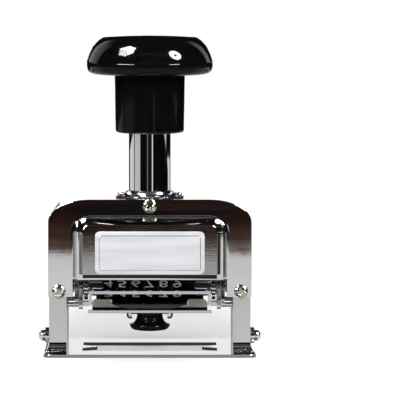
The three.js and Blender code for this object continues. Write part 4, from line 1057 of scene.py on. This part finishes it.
GLARE = 110.0
SLOPE_GREY = srgb(176, 175, 174)
EDGE_GREY = srgb(220, 216, 212)
GLARE_SIDES = 40
GLARE_DISTANCE = 450 * MM
glare_material = flat_material("glare", WHITE, GLARE)


def facing_card(name, mesh, material, bearing, elevation, distance):
    """Places a flat mesh so that it faces the knob, where only gloss sees it."""
    mesh.materials.append(material)
    piece = link(name, mesh)
    place(piece, bearing, elevation, distance)
    hide_from_all_but_gloss(piece)


def glare_ring(name, bearing, elevation, radius, tall_share, hole_share, lobes=0, lobe_share=0.0, ribs=()):
    """A bright ring, tall_share times as tall as wide.

    Lobes scallop its outer edge, and ribs are the numbers of sides that are left out of it.
    """
    mesh = bpy.data.meshes.new(name)
    with edited(mesh) as work:
        outer = []
        inner = []
        for i in range(GLARE_SIDES):
            turn = 2 * math.pi * i / GLARE_SIDES
            reach = radius * (1 + lobe_share * math.cos(lobes * turn))
            hole = radius * hole_share
            outer.append(work.verts.new((reach * math.cos(turn), reach * tall_share * math.sin(turn), 0)))
            inner.append(work.verts.new((hole * math.cos(turn), hole * tall_share * math.sin(turn), 0)))
        for i in range(GLARE_SIDES):
            j = (i + 1) % GLARE_SIDES
            if i not in ribs:
                work.faces.new((outer[i], outer[j], inner[j], inner[i]))
    facing_card(name, mesh, glare_material, bearing, elevation, GLARE_DISTANCE)


def glare_panel(name, bearing, elevation, distance, half_width, half_height, material):
    """A card that is wider than high."""
    corners = [(x, y, 0) for x, y in rectangle(half_width, -half_height, half_height)]
    facing_card(name, flat_mesh(name, corners), material, bearing, elevation, distance)


# The left softbox shows as a fan of bright panels, and the right one as a ring with a dark middle
glare_ring(
    "left_glare",
    bearing=-63.5,
    elevation=51.5,
    radius=98 * MM,
    tall_share=1.15,
    hole_share=0.08,
    lobes=6,
    lobe_share=0.08,
    ribs=(21, 23, 25, 28, 31, 34),
)
glare_ring("right_glare", bearing=58.8, elevation=40, radius=76 * MM, tall_share=1.3, hole_share=0.26)

# A bright strip at each side makes the thin lines on the knob's rim. A grey strip high in front
# lights the foot of the hood's upper slope, and a thin one below it draws light lines along the
# edges that turn up. By name, bearing and elevation in degrees, distance, half width and half
# height in mm, and material
GLARE_PANELS = [
    ("left_line", -46.7, 10.5, 500, 158, 10, glare_material),
    ("right_line", 46.5, 10.5, 500, 86, 10, glare_material),
    ("slope_strip", 0, 50, 900, 700, 50, flat_material("slope_grey", SLOPE_GREY)),
    ("edge_strip", 0, 24, 900, 700, 14, flat_material("edge_grey", EDGE_GREY)),
]
for name, bearing, elevation, distance, half_width, half_height, material in GLARE_PANELS:
    glare_panel(name, bearing, elevation, distance * MM, half_width * MM, half_height * MM, material)

# Camera

CAMERA_DISTANCE = 1050 * MM
CAMERA_HEIGHT = 149.2 * MM
AIM_HEIGHT = 58.53 * MM
FRONT_PLANE = -16 * MM
VIEW_WIDTH = 149.15 * MM  # what the picture spans at the front plane
SENSOR = 36 * MM
SIDE_SHIFT_SHARE = 0.1255  # of the picture's width: the stamp stands left of its middle

camera_data = bpy.data.cameras.new("camera")
camera = link("camera", camera_data)
camera.location = (0, -CAMERA_DISTANCE, CAMERA_HEIGHT)
aim = Vector((0, FRONT_PLANE, AIM_HEIGHT))
sight = aim - camera.location
camera.rotation_euler = sight.to_track_quat("-Z", "Y").to_euler()
camera_data.sensor_width = SENSOR / MM
camera_data.lens = SENSOR / MM * sight.length / VIEW_WIDTH
camera_data.shift_x = SIDE_SHIFT_SHARE
bpy.context.scene.camera = camera
bpy.context.scene.view_settings.view_transform = "Standard"
